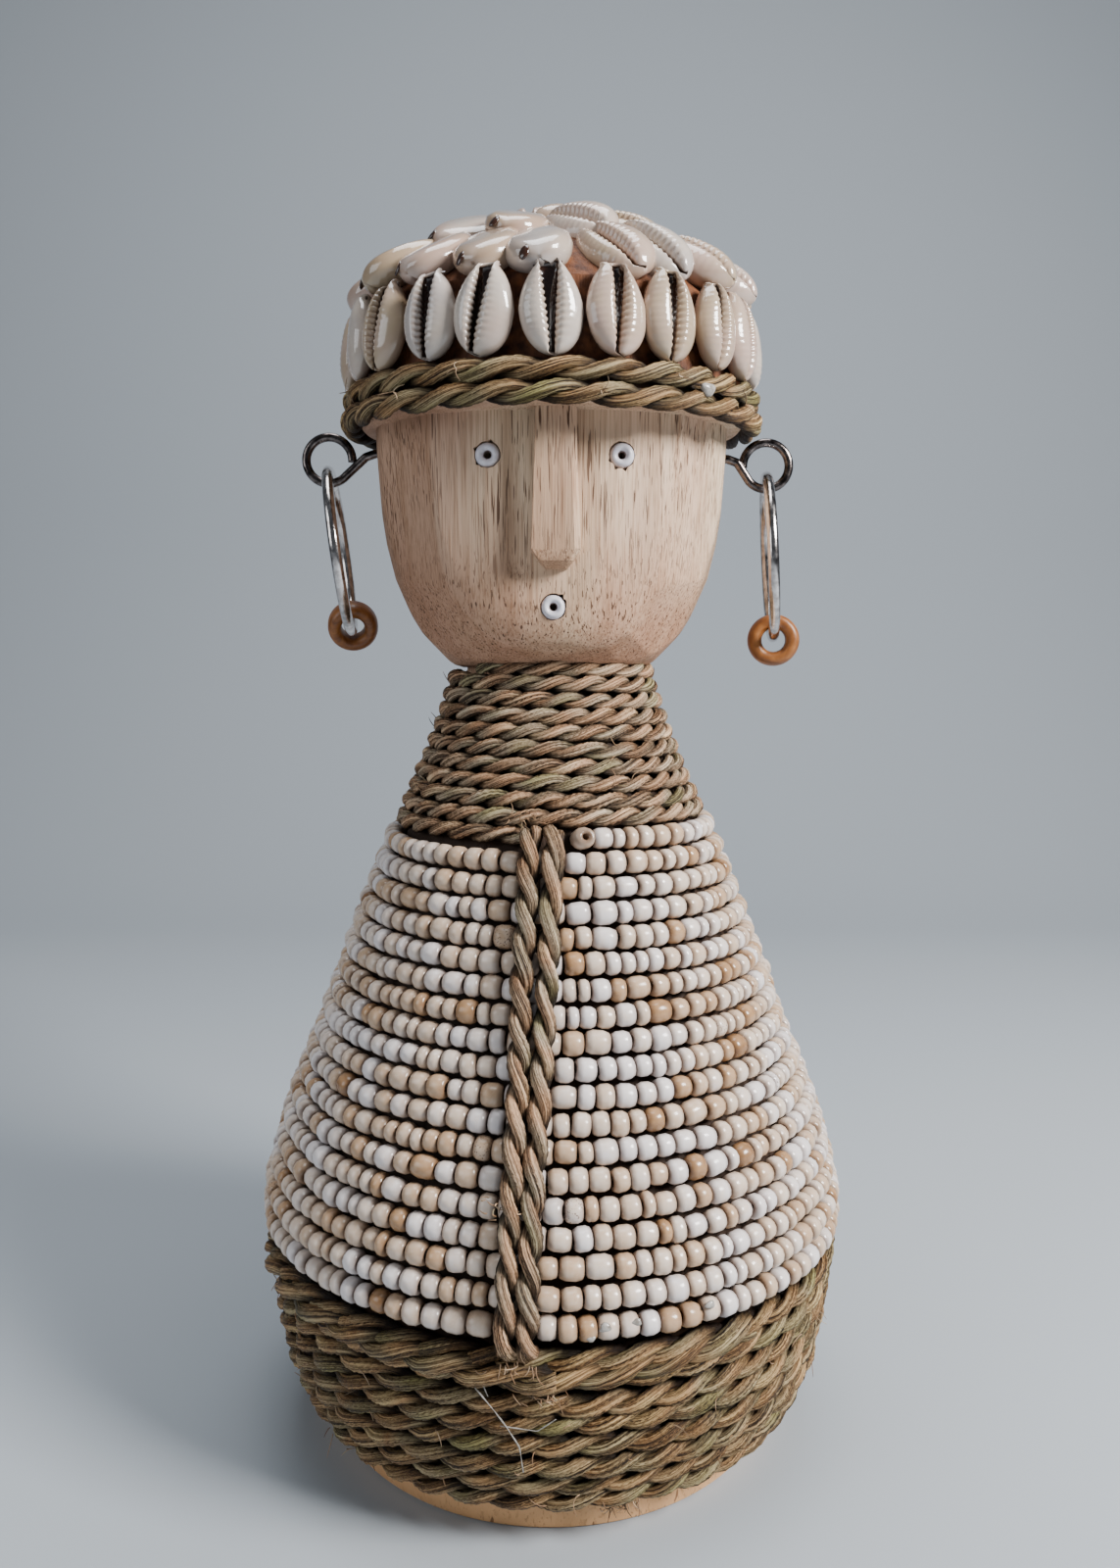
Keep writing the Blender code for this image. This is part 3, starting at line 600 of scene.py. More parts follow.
# Flat cuts of the knife: turn from the front, tilt downwards (degrees), depth of the cut
MIDDLE_CUTS = (
    (0, 0, 0.7),
    (0, 62, 0.8),
    (-21, 1, 0.45),
    (19, 2, 0.45),
    (180, 8, 0.7),
    (180, 36, 0.8),
)
SIDE_CUTS = (
    (50, 5, 2.0),
    (54, 27, 2.0),
    (42, 48, 0.9),
    (22, 60, 0.4),
    (84, 4, 0.25),
    (86, 24, 0.3),
    (84, 44, 0.35),
    (116, 12, 0.8),
    (118, 36, 0.8),
    (148, 6, 0.8),
    (150, 32, 0.8),
)
CUTS = MIDDLE_CUTS + SIDE_CUTS + tuple((-turn, tilt, depth) for turn, tilt, depth in SIDE_CUTS)


def cut_flat(points):
    """Cuts the flats off the head, each point moving towards its centre to the nearest cut."""
    rays = points - HEAD_CENTRE
    reach = np.ones(points.shape[:-1])
    for turn, tilt, depth in CUTS:
        turn, tilt = math.radians(turn), math.radians(tilt)
        level = math.cos(tilt)
        normal = np.array([math.sin(turn) * level, -math.cos(turn) * level, -math.sin(tilt)])
        along = rays @ normal
        limit = along.max() - depth * MM
        share = np.where(along > 1e-6, limit / np.maximum(along, 1e-6), 1.0)
        reach = np.minimum(reach, share)
    return HEAD_CENTRE + rays * reach[..., None]


def gouge(points):
    """The channel that the knife left beside the nose, on its left."""
    x, y, z = points[..., 0], points[..., 1], points[..., 2]
    left = NOSE_X - 8.2 * MM
    foot = 211.0 * MM
    across = np.exp(-(((x - left) / (2.6 * MM)) ** 2))
    above = 1 / (1 + np.exp(-(z - foot) / (0.9 * MM)))
    fade = np.clip((HAT_BASE + 4 * MM - z) / (30 * MM), 0.35, 1.0)
    front = (y < 0).astype(float)
    points[..., 1] += 1.5 * MM * across * above * fade * front
    return points


def outside_face(x, z):
    """How far outside the U that bounds the flat of the face a point lies, 0 inside it."""
    across = np.abs(x - U_MIDDLE) / U_HALF_WIDTH
    down = np.maximum(U_STRAIGHT_TO - z, 0) / (U_STRAIGHT_TO - U_BOTTOM)
    return np.maximum(across**U_ROUNDNESS + down**U_ROUNDNESS - 1, 0)


def face_edge(points):
    """The knife's edge along that U: outside it the wood falls away."""
    x, y, z = points[..., 0], points[..., 1], points[..., 2]
    fall = 0.75 * MM * (1 - np.exp(-outside_face(x, z) / 0.28))
    points[..., 1] += np.where(y < 0, fall * np.clip(-y / (12 * MM), 0, 1), 0.0)
    return points


def head_mesh():
    front = np.radians(np.linspace(-80, 80, 220))
    back = np.radians(np.linspace(80, 280, 112)[1:-1])
    turns = np.concatenate([front, back])
    low = np.radians(np.linspace(4, 90, 64))
    heights = HEAD_SHOULDER - (HEAD_SHOULDER - HEAD_BOTTOM) * np.cos(low)
    heights = np.concatenate([heights, np.linspace(HEAD_SHOULDER, HAT_BASE + 3.4 * MM, 40)[1:]])
    points = head_surface(turns[None, :], heights[:, None])
    points = face_edge(gouge(cut_flat(points)))
    return points, grid_faces(len(heights), len(turns), capped=True)


def loose_object(name, points, faces):
    """A mesh object with its faces turned outwards."""
    made = mesh_object(name, points, faces)
    bm = bmesh.new()
    bm.from_mesh(made.data)
    bmesh.ops.recalc_face_normals(bm, faces=bm.faces)
    bm.to_mesh(made.data)
    bm.free()
    return made


def turned(name, profile, matrix=None):
    """A closed solid from a profile of (radius, height) that starts and ends on the axis."""
    ring = circle(TURNED_STEPS)
    radii, heights = np.array(profile[1:-1]).T[:, :, None]
    points = xyz(radii * np.cos(ring), radii * np.sin(ring), heights).reshape(-1, 3)
    count = len(points)
    points = np.concatenate([points, [(0, 0, profile[0][1]), (0, 0, profile[-1][1])]])
    faces = grid_faces(len(profile) - 2, TURNED_STEPS)
    last = count - TURNED_STEPS
    for j in range(TURNED_STEPS):
        k = (j + 1) % TURNED_STEPS
        faces.append((count, k, j))
        faces.append((count + 1, last + j, last + k))
    made = loose_object(name, points, faces)
    if matrix is not None:
        made.data.transform(matrix)
    return made


def carve(target, other):
    """Cuts the other solid out of the target."""
    change = target.modifiers.new("carve", "BOOLEAN")
    change.operation = "DIFFERENCE"
    change.solver = "EXACT"
    change.object = other
    bpy.context.view_layer.update()
    graph = bpy.context.evaluated_depsgraph_get()
    data = bpy.data.meshes.new_from_object(target.evaluated_get(graph))
    target.modifiers.clear()
    target.data = data
    bpy.data.objects.remove(other)


def add_shells(target, *others):
    """Takes the other solids into the target as further shells of one mesh."""
    points = [tuple(vert.co) for vert in target.data.vertices]
    faces = [tuple(face.vertices) for face in target.data.polygons]
    for other in others:
        start = len(points)
        points += [tuple(vert.co) for vert in other.data.vertices]
        faces += [tuple(v + start for v in face.vertices) for face in other.data.polygons]
        bpy.data.objects.remove(other)
    data = bpy.data.meshes.new("carved_figure")
    data.from_pydata(points, [], faces)
    target.data = data


def body_object():
    foot = [(0, 0), (OUT_RADIUS[0] - 0.7 * MM, 0), (OUT_RADIUS[0], 0.7 * MM)]
    chosen = np.linspace(4, len(OUT_RADIUS) - 1, 60).astype(int)
    wall = [(OUT_RADIUS[i], OUT_HEIGHT[i]) for i in chosen]
    return turned("body", foot + wall + [(0, BODY_TOP)])


HAT_FRAME = Matrix.Translation((0, 0, HAT_BASE)) @ Matrix.Rotation(HAT_LEAN, 4, "X")
ROPE_BAND = HAT_ROPE_BOTTOM + 2 * (HAT_ROPE_DIAMETER + GAP)
COWRIE_WIDTH = TURN * HAT_RADIUS / RIM_COWRIES - COWRIE_SPACE
COWRIE_LENGTH = 1.54 * COWRIE_WIDTH
COWRIE_THICKNESS = 0.46 * COWRIE_WIDTH
HAT_SIDE = ROPE_BAND + 0.92 * COWRIE_LENGTH


def hat_wall_radius(height):
    return HAT_RADIUS - height * math.tan(HAT_TAPER)


DOME_EDGE = hat_wall_radius(HAT_SIDE)
DOME_CURVE = (DOME_EDGE**2 + DOME_RISE**2) / (2 * DOME_RISE)


def dome_height(radius):
    """How high the dome is at a radius, above the hat's underside."""
    slope = math.asin(radius / DOME_CURVE)
    return HAT_SIDE + DOME_RISE - DOME_CURVE * (1 - math.cos(slope))


DOME_STEPS = 12


def hat_object():
    profile = [(0, 0), (HAT_RADIUS - 0.6 * MM, 0), (HAT_RADIUS, 0.6 * MM)]
    profile += [(hat_wall_radius(h), h) for h in np.linspace(2 * MM, HAT_SIDE - MM, 8)]
    for i in range(DOME_STEPS):
        radius = DOME_EDGE * math.cos(math.pi / 2 * i / DOME_STEPS)
        profile.append((radius, dome_height(radius)))
    profile.append((0, HAT_SIDE + DOME_RISE))
    return turned("hat", profile, HAT_FRAME)


# Cross sections of the nose: height, left, right, width of the chamfer, front, in millimetres
NOSE_SECTIONS = (
    (211.9, -1.6, 2.6, 0.6, -1.2),
    (213.4, -3.0, 3.6, 0.8, -4.2),
    (215.9, -4.7, 4.7, 1.3, -5.2),
    (232.0, -4.1, 4.1, 1.3, -4.9),
    (251.0, -3.6, 3.7, 1.3, -4.3),
)


def nose_object():
    """The nose: a tapering wedge with a chamfer down its right side and a cut-off tip."""
    rows = []
    for height, left, right, edge, front in NOSE_SECTIONS:
        across = (left - 0.6, left - 0.3, left, right, right + edge, right + edge + 0.3)
        deep = (5.0, 0.2, front, front, front + 1.3, 5.0)
        rows.append(xyz(across, deep, height))
    points = np.array(rows) * MM + np.array([NOSE_X, -FACE_DEPTH, 0])
    return loose_object("nose", points, grid_faces(len(rows), 6, capped=True))


def face_front(x, z):
    """Where the smooth face is, straight in front of a point."""
    turn = np.linspace(-math.pi / 2, math.pi / 2, 721)
    ring = head_surface(turn, np.array(z))
    return float(np.interp(x, ring[:, 0], ring[:, 1]))


def socket_object(name, place, seed):
    """A roughly cut hole, its rim torn here and there."""
    x, z = place
    rng = np.random.default_rng(seed)
    steps = 28
    rim = (2.88 + rng.uniform(0, 0.16, steps)) * MM
    tear = rng.integers(0, steps, 3)
    rim[tear] += rng.uniform(0.3, 0.8, 3) * MM
    depths, shares = np.array([(-4.0, 1.02), (0.4, 1.0), (4.2, 0.9)]).T[:, :, None]
    across, up = np.cos(circle(steps)), np.sin(circle(steps))
    points = xyz(x + rim * shares * across, face_front(x, z) + depths * MM, z + rim * shares * up)
    return loose_object(name, points, grid_faces(3, steps, capped=True))


def wooden_figure():
    points, faces = head_mesh()
    figure = loose_object("carved_figure", points, faces)
    for i, place in enumerate((LEFT_EYE, RIGHT_EYE, MOUTH)):
        carve(figure, socket_object(f"socket_{i}", place, 30 + i))
    add_shells(figure, nose_object(), body_object(), hat_object())
    data = figure.data
    points = np.array([vert.co for vert in data.vertices])
    x, y, z = points.T
    in_hat = placed(points, HAT_FRAME.inverted())[:, 2] > 3 * MM
    at_nose = (abs(x - NOSE_X) < 6 * MM) & (y > -HAT_RADIUS + 3 * MM) & (y < -FACE_DEPTH)
    stain = in_hat & ~(at_nose & (z < HAT_BASE + 7 * MM))
    # Dirt and painted shade on the body under the beads and ropes, seen in the gaps between them
    grime_and_shade = (z > BASE_ROPE_FROM + MM) & (z < HEAD_BOTTOM - 5 * MM)
    # shade: painted shade outside the U of the face, on the left and along the bottom, at full
    # strength just past its edge; the nose is darkened all over
    on_nose = (abs(x - NOSE_X) < 5.6 * MM) & (y < -FACE_DEPTH - 1.2 * MM) & (z < HAT_BASE)
    in_front = (y < 0) & (z > HEAD_BOTTOM) & (z < HAT_BASE)
    beyond = np.where(in_front, outside_face(x, z), 0.0)
    darker = np.maximum((U_MIDDLE - x) / (10 * MM), (205 * MM - z) / (6 * MM))
    shade = 0.75 * np.clip(darker, 0.0, 1.0) * np.minimum(beyond / 0.06, 1.0)
    shade[on_nose] = 1.0
    give(data, {"stain": stain, "grime_and_shade": grime_and_shade, "shade": shade})
    data.materials.clear()
    data.materials.append(WOOD)
    data.shade_smooth()
    data.set_sharp_from_angle(angle=math.radians(24))
    adopt(figure, ["wooden_figure"])


# Beads


BEAD_PROFILE = ((-0.46, 0.33), (-0.50, 0.60), (-0.43, 0.83), (-0.20, 0.99))
BEAD_PROFILE += tuple((-along, radius) for along, radius in reversed(BEAD_PROFILE))
BEAD_STEPS = 12
BEAD_PIECES = 4
TONE_RUN = 11 * MM


def bead_shape():
    """One bead, length 1 and radius 1 along X, with how near each point is to an end."""
    along, radius = np.array(BEAD_PROFILE).T[:, :, None]
    ring = circle(BEAD_STEPS)
    points = xyz(along, radius * np.cos(ring), radius * np.sin(ring)).reshape(-1, 3)
    # rim: how far each point darkens, dirt and painted shade at the ends and in the hole
    rim = np.where(radius < 0.5, 1.0, np.maximum(0.0, np.abs(along) * 2 - 0.6) / 0.4 * 0.85)
    faces = grid_faces(len(BEAD_PROFILE), BEAD_STEPS, joined=True)
    return points, faces, np.repeat(rim, BEAD_STEPS)


def bead_string():
    """One string of beads wound down the body, from the front towards +X."""
    rng = np.random.default_rng(7)
    shape, faces, rim = bead_shape()
    offset = BEAD_DIAMETER / 2 + GAP
    run = smooth_noise(11, 997)
    heaps = [Heap() for _ in range(BEAD_PIECES)]
    walked = 0.0
    azimuth = BEADS_START
    end = BEADS_START + TURN * BEAD_TURNS
    while azimuth < end:
        length = float(np.clip(rng.normal(4.3, 0.75), 2.7, 6.0)) * MM
        here = BEADS_TOP - BEAD_PITCH * (azimuth - BEADS_START) / TURN
        at, out = on_body(here, azimuth, offset)
        radius = math.hypot(at[0], at[1])
        middle = azimuth + length / 2 / radius
        here += rng.normal(0, 0.10) * MM
        at, out = on_body(here, middle, offset + rng.normal(0, 0.16) * MM)
        along = np.array([math.cos(middle), math.sin(middle), -BEAD_PITCH / TURN / radius])
        along = unit(along + rng.normal(0, 0.07, 3))
        out = unit(out - along * (out @ along))
        width = BEAD_DIAMETER / 2 * (0.98 + float(np.clip(rng.normal(0.0, 0.045), -0.11, 0.06)))
        if walked == 0.0:
            # The first bead shows its hole
            along, out = unit(out + 0.25 * along), along
        side = np.cross(along, out)
        points = at + shape @ np.array([along * length * 0.97, out * width, side * width])
        tone = 0.31 + 0.17 * float(run(walked / TONE_RUN)) + rng.normal(0, 0.16)
        if rng.random() < 0.05:
            tone = rng.uniform(0.62, 0.88)
        specks = 1.0 if rng.random() < 0.012 else 0.0
        share = (azimuth - BEADS_START) / (end - BEADS_START)
        heap = heaps[min(BEAD_PIECES - 1, int(BEAD_PIECES * share))]
        heap.add(points, faces, tone=min(max(tone, 0.02), 0.95), rim=rim, specks=specks)
        walked += length
        azimuth += length / radius
    for i, heap in enumerate(heaps):
        heap.piece(f"bead_rows_{i + 1}", BEADS, ["bead_string"], "body_beads")


# Ropes


def two_ply(heap, axis, outward, diameter, lay, seed, sides=12):
    """A rope of two strands twisted round an axis, lay being the length of one twist."""
    rng = np.random.default_rng(seed)
    walked = lengths_along(axis)
    tangent = unit(np.gradient(axis, axis=0))
    outward = unit(outward - tangent * (outward * tangent).sum(1, keepdims=True))
    side = np.cross(tangent, outward)
    slow = smooth_noise(seed + 1, 701)
    wave = smooth_noise(seed + 2, 701)
    angle = TURN * (walked / lay + 0.10 * slow(walked / (1.7 * lay)))
    ring = circle(sides)
    for strand in range(2):
        own = smooth_noise(seed + 5 + strand, 701)
        phase = (angle + strand * math.pi + rng.uniform(-0.1, 0.1))[:, None]
        radial = np.cos(phase) * side + np.sin(phase) * outward
        across = -np.sin(phase) * side + np.cos(phase) * outward
        size = 1 + 0.10 * own(walked / (0.6 * lay)) + 0.04 * own(walked / (0.13 * lay) + 31)
        wobble = 0.035 * diameter * wave(walked / (0.8 * lay) + 7 * strand)
        centre = axis + radial * (0.235 * diameter) + outward * wobble[:, None]
        twist = -TURN * walked[:, None] / (1.15 * lay)
        lobes = 1 + 0.055 * np.cos(4 * (ring + twist) + 1.3 * strand)
        thick = diameter * size[:, None] * lobes
        points = swept(centre, radial, across, 0.262 * thick, 0.318 * thick, ring)
        fibre = ring - twist * 0.9
        spread = 0.3 * diameter
        start = walked[:, None] + rng.uniform(0, 40)
        lay_at = xyz(start, spread * np.cos(fibre) + 0.01 * strand, spread * np.sin(fibre))
        # Painted shade, almost black, on the strands' sides towards the body and in the crease
        # between them
        apart = ((points - axis[:, None, :]) * outward[:, None, :]).sum(-1) / diameter
        inner = np.clip((0.25 - apart) / 0.26, 0, 1) ** 0.75
        faces = grid_faces(len(axis), sides, capped=True)
        heap.add(points, faces, lay=lay_at.reshape(-1, 3), inner=inner.ravel())


def rope_piece(name, material, node, *ropes):
    """One piece of ropes, each with its axis, outward directions, diameter, lay and seed."""
    heap = Heap()
    for rope in ropes:
        two_ply(heap, *rope)
    heap.piece(name, material, [node], "seagrass_rope")


def wound(top, azimuth, turns, pitch, diameter, step, ripple, seed):
    """The axis of a rope wound down the body and its outward directions."""
    mean = float(np.interp(top - pitch * turns / 2, OUT_LENGTH, OUT_RADIUS))
    share = np.linspace(0, turns, int(TURN * turns * mean / step))
    uneven = smooth_noise(seed, 499)
    length = top - pitch * share + ripple * uneven(share * 9)
    offset = diameter / 2 + GAP + 0.4 * ripple * uneven(share * 13 + 5)
    return on_body(length, azimuth + TURN * share, offset)


UNDER_HEAD = 0.6
PAST_CORDS = 0.026


def wound_ropes():
    """The ropes of the neck and the base, the neck's going on under the head."""
    size = NECK_ROPE_DIAMETER
    pitch = size + GAP
    once_round = 1 - (BEADS_START - NECK_ROPE_END) / TURN
    bottom = BEADS_TOP + (BEAD_DIAMETER + size) / 2 + GAP - pitch * once_round
    top = length_at_height(NECK_ROPE_TO) - size / 2
    turns = (top - bottom) / pitch + UNDER_HEAD
    azimuth = NECK_ROPE_END - TURN * turns
    top += UNDER_HEAD * pitch
    rope = wound(top, azimuth, turns + PAST_CORDS, pitch, size, 1.15 * MM, 0.25 * MM, 3)
    rope_piece("neck_wrap", ROPE, "neck_rope", (*rope, size * 1.22, 15 * MM, 40))

    size = BASE_ROPE_DIAMETER
    pitch = size + GAP
    step = abs(BEAD_DIAMETER - size) / 2 + BELOW_BEADS
    top = BEADS_TOP - BEAD_TURNS * BEAD_PITCH - step
    bottom = length_at_height(BASE_ROPE_FROM) + size / 2 + GAP
    azimuth = BEADS_START + TURN * BEAD_TURNS + 0.148
    rope = wound(top, azimuth, (top - bottom) / pitch, pitch, size, 1.4 * MM, 0.7 * MM, 4)
    rope_piece("base_wrap", DARK_ROPE, "base_rope", (*rope, size * 1.12, 20 * MM, 60))


def base_top_rope():
    """The thick end of the base rope, which comes in from the left and dips at the front."""
    edge = length_at_height(BEADS_FROM)
    share = np.linspace(0, 1, 110)
    dip = np.exp(-(((share - 0.97) / 0.13) ** 2))
    length = edge - (3.1 + 0.5 * share + 0.9 * dip) * MM
    left = on_body(length, np.radians(-72 + 73 * share), (4.2 + 0.8 * dip) * MM)
    share = np.linspace(0, 1, 70)
    length = edge - (6.2 - 3.1 * share**0.7) * MM
    right = on_body(length, np.radians(-4 + 42 * share), (4.4 - 1.5 * share) * MM)
    ropes = ((*left, 6.4 * MM, 24 * MM, 66), (*right, 5.8 * MM, 26 * MM, 67))
    rope_piece("base_rope_end", DARK_ROPE, "base_rope", *ropes)


def front_cords():
    """The two cords over the beads, tucked under a turn of rope at each end."""
    top = BEADS_TOP - CORD_DIAMETER / 2 + 3.0 * MM
    bottom = length_at_height(BEADS_FROM) + 0.6 * MM
    over_beads = GAP + BEAD_DIAMETER + CORD_DIAMETER / 2
    share = np.linspace(0, 1, 130)
    length = top + (bottom - top) * share
    tuck = 3.4 * MM * np.exp(-share / 0.03) + 4.0 * MM * np.exp(-(1 - share) / 0.03)
    radius = -on_body(length, 0.0, over_beads)[0][:, 1]
    for name, side, seed in (("left", -1, 70), ("right", 1, 71)):
        middle = (-1.8 - 5.1 * share) * MM
        spread = (5.6 - 1.3 * share) * MM
        sway = 0.35 * MM * smooth_noise(seed, 97)(share * 6)
        azimuth = np.arcsin((middle + side * spread / 2 + sway) / radius)
        cord = on_body(length, azimuth, over_beads - tuck)
        rope = (*cord, CORD_DIAMETER * 1.36, 17 * MM, seed)
        rope_piece(f"cord_{name}", ROPE, f"front_cord_{name}", rope)


def hat_ropes():
    """Two level turns round the hat, the rope climbing from one to the other at the back."""
    radius = HAT_ROPE_DIAMETER / 2
    end = math.radians(150)
    azimuth = np.linspace(-end, end + TURN, 560)
    climb = np.clip((azimuth - math.radians(155)) / math.radians(50), 0, 1)
    climb = climb * climb * (3 - 2 * climb)
    height = HAT_ROPE_BOTTOM + radius + climb * (HAT_ROPE_DIAMETER + GAP)
    height += 0.3 * MM * smooth_noise(17, 97)(azimuth * 3)
    distance = hat_wall_radius(np.maximum(height, 0)) + GAP + radius
    axis = placed(xyz(distance * np.sin(azimuth), -distance * np.cos(azimuth), height), HAT_FRAME)
    outward = xyz(np.sin(azimuth), -np.cos(azimuth), 0) @ np.array(HAT_FRAME.to_3x3()).T
    rope = (axis, outward, HAT_ROPE_DIAMETER * 1.14, 22 * MM, 80, 14)
    rope_piece("hat_band", DARK_ROPE, "hat_rope", rope)


# Loose fibres and glue

FIBRE_WIDTHS = np.array([1, 1, 0.95, 0.9, 0.8, 0.65, 0.35])
FIBRE_SIDES = 5
# Between which heights fibres stand off a rope, how many, and how far out they start
FIBRE_BANDS = ((158, 188, 46, 3.9), (12, 46, 110, 5.0))
# Tufts: height, how far below it, degrees from the front, offset, how many, heading, length
TUFTS = (
    (154.8, 0, -9, 3.6, 26, (0.9, -0.35, -0.15), 4.0),
    (160.0, 0, -63, 4.4, 9, (-1.0, -0.3, 0.5), 4.5),
    (BEADS_FROM / MM, 8.5, 0, 7.0, 18, (0.7, -0.2, -0.6), 3.5),
    (BEADS_FROM / MM, 1.5, -5, 7.5, 16, (-0.1, -0.3, -1.0), 3.5),
    (78, 0, -8.5, 9.5, 14, (-0.4, -0.8, 0.2), 2.5),
    (11, 0, 14, 5.0, 22, (0.5, -0.3, -1.0), 3.5),
)
# Where fibres stand off the hat's rope: degrees from the front and height
HAT_FIBRES = ((-41, 3.2), (-22, 6.1), (12, 1.4), (33, 5.4), (58, 2.2), (-66, 6.4))
# Threads of glue: degrees from the front, height and offset of each bend, and the thickness
GLUE_THREADS = (
    (((-12, 44, 6.5), (-9, 39, 6.4), (-7, 36, 6.9), (-5, 31, 6.3), (-4.5, 25, 6.2)), 0.17),
    (((-8, 36, 6.8), (-2, 35, 6.5), (1, 38, 6.8)), 0.13),
    (((-14, 47.5, 5.0), (-11, 45, 5.8), (-10, 42, 6.2)), 0.12),
    (((8, 48.5, 3.0), (10, 46.5, 4.6), (13, 45.5, 5.2)), 0.12),
)
# Drops of glue: degrees from the front, height, offset and size
GLUE_DROPS = ((9, 56.5, 4.6, 1.5), (6.5, 55, 5.2, 1.0), (14, 57, 4.9, 1.1), (27, 57.5, 5.2, 1.2))
HAT_DROP = 42


def at_height(height, degrees, offset):
    """(point, outward direction) off the body, in millimetres and degrees."""
    return on_body(length_at_height(height * MM), math.radians(degrees), offset * MM)


def by_hat(degrees, away, height):
    """A point beside the hat's rope, as far from the foot of its wall as given."""
    azimuth = math.radians(degrees)
    radius = HAT_RADIUS + away * MM
    point = Vector((radius * math.sin(azimuth), -radius * math.cos(azimuth), height * MM))
    return np.array(HAT_FRAME @ point)


def fibre(heap, rng, start, heading, length, thick):
    """A short loose fibre, curling and sagging as it goes."""
    curl = rng.normal(0, 0.9, 3) * 0.22 + np.array([0, 0, -0.05])
    points = [start]
    heading = unit(np.array(heading))
    steps = len(FIBRE_WIDTHS) - 1
    for _ in range(steps):
        heading = unit(heading + curl)
        points.append(points[-1] + heading * length * MM / steps)
    shell, faces = tube(np.array(points), thick * MM * FIBRE_WIDTHS, FIBRE_SIDES)
    along = np.repeat(np.linspace(0, length * MM, steps + 1), FIBRE_SIDES)
    heap.add(shell, faces, lay=xyz(along + rng.uniform(0, 9), 0, 0), inner=0.0)


def loose_fibres():
    """Broken fibres that stand off the ropes, and tufts of them at the cut ends."""
    rng = np.random.default_rng(91)
    heap = Heap()
    for low, high, count, offset in FIBRE_BANDS:
        low, high = length_at_height(low * MM), length_at_height(high * MM)
        for _ in range(count):
            azimuth = rng.uniform(0, TURN)
            at, out = on_body(rng.uniform(low, high), azimuth, offset * MM)
            around = np.array([math.cos(azimuth), math.sin(azimuth), 0.3])
            heading = out * 0.35 + around * rng.choice((-1, 1)) + rng.normal(0, 0.25, 3)
            fibre(heap, rng, at, heading, rng.uniform(2, 6), 0.11)
    for height, below, degrees, offset, count, heading, reach in TUFTS:
        length = length_at_height(height * MM) - below * MM
        for _ in range(count):
            azimuth = math.radians(degrees + rng.normal(0, 2.2))
            at, _ = on_body(length + rng.normal(0, 0.8) * MM, azimuth, offset * MM)
            start = at - unit(np.array(heading)) * 1.2 * MM
            turned_way = np.array(heading) + rng.normal(0, 0.35, 3)
            fibre(heap, rng, start, turned_way, rng.uniform(0.5, 1.0) * reach, 0.14)
    for degrees, height in HAT_FIBRES:
        for _ in range(4):
            heading = (rng.normal(0, 1), -0.4, rng.normal(0.1, 0.5))
            fibre(heap, rng, by_hat(degrees, 5.2, height), heading, rng.uniform(1.5, 4), 0.11)
    nodes = ["neck_rope", "base_rope", "hat_rope"]
    heap.piece("loose_fibres", ROPE, nodes, "seagrass_rope")


def glue():
    """Threads and drops of clear glue that ran over the ropes and the last beads."""
    rng = np.random.default_rng(92)
    heap = Heap()
    for places, thick in GLUE_THREADS:
        bends = np.array([at_height(z, degrees, offset)[0] for degrees, z, offset in places])
        steps = np.linspace(0, len(bends) - 1, 24)
        path = along_path(bends, range(len(bends)), steps)
        heap.add(*tube(path, thick * MM * (0.8 + 0.3 * np.sin(steps * 5)), 6))
    drops = [(*at_height(z, degrees, offset), size) for degrees, z, offset, size in GLUE_DROPS]
    aside = math.radians(HAT_DROP)
    out = np.array([math.sin(aside), -math.cos(aside), 0])
    drops.append((by_hat(HAT_DROP, 4.6, 3.9), out, 2.1))
    for at, out, size in drops:
        halves = size * MM * np.array([1, 0.7, 0.5])
        heap.add(*oval(at, out, (0, 0, 1), halves, 9, 14, 0.12, 0.18, rng.uniform(0, 6)))
    heap.piece("glue", GLUE, ["base_rope", "bead_string", "hat_rope"], "body_beads")


# Cowries


TEETH = 13
LIP_STEPS = (0.02, 0.09, 0.19, 0.32, 0.48, 0.64, 0.79, 0.91, 0.98)
STRAIGHT = 0.88


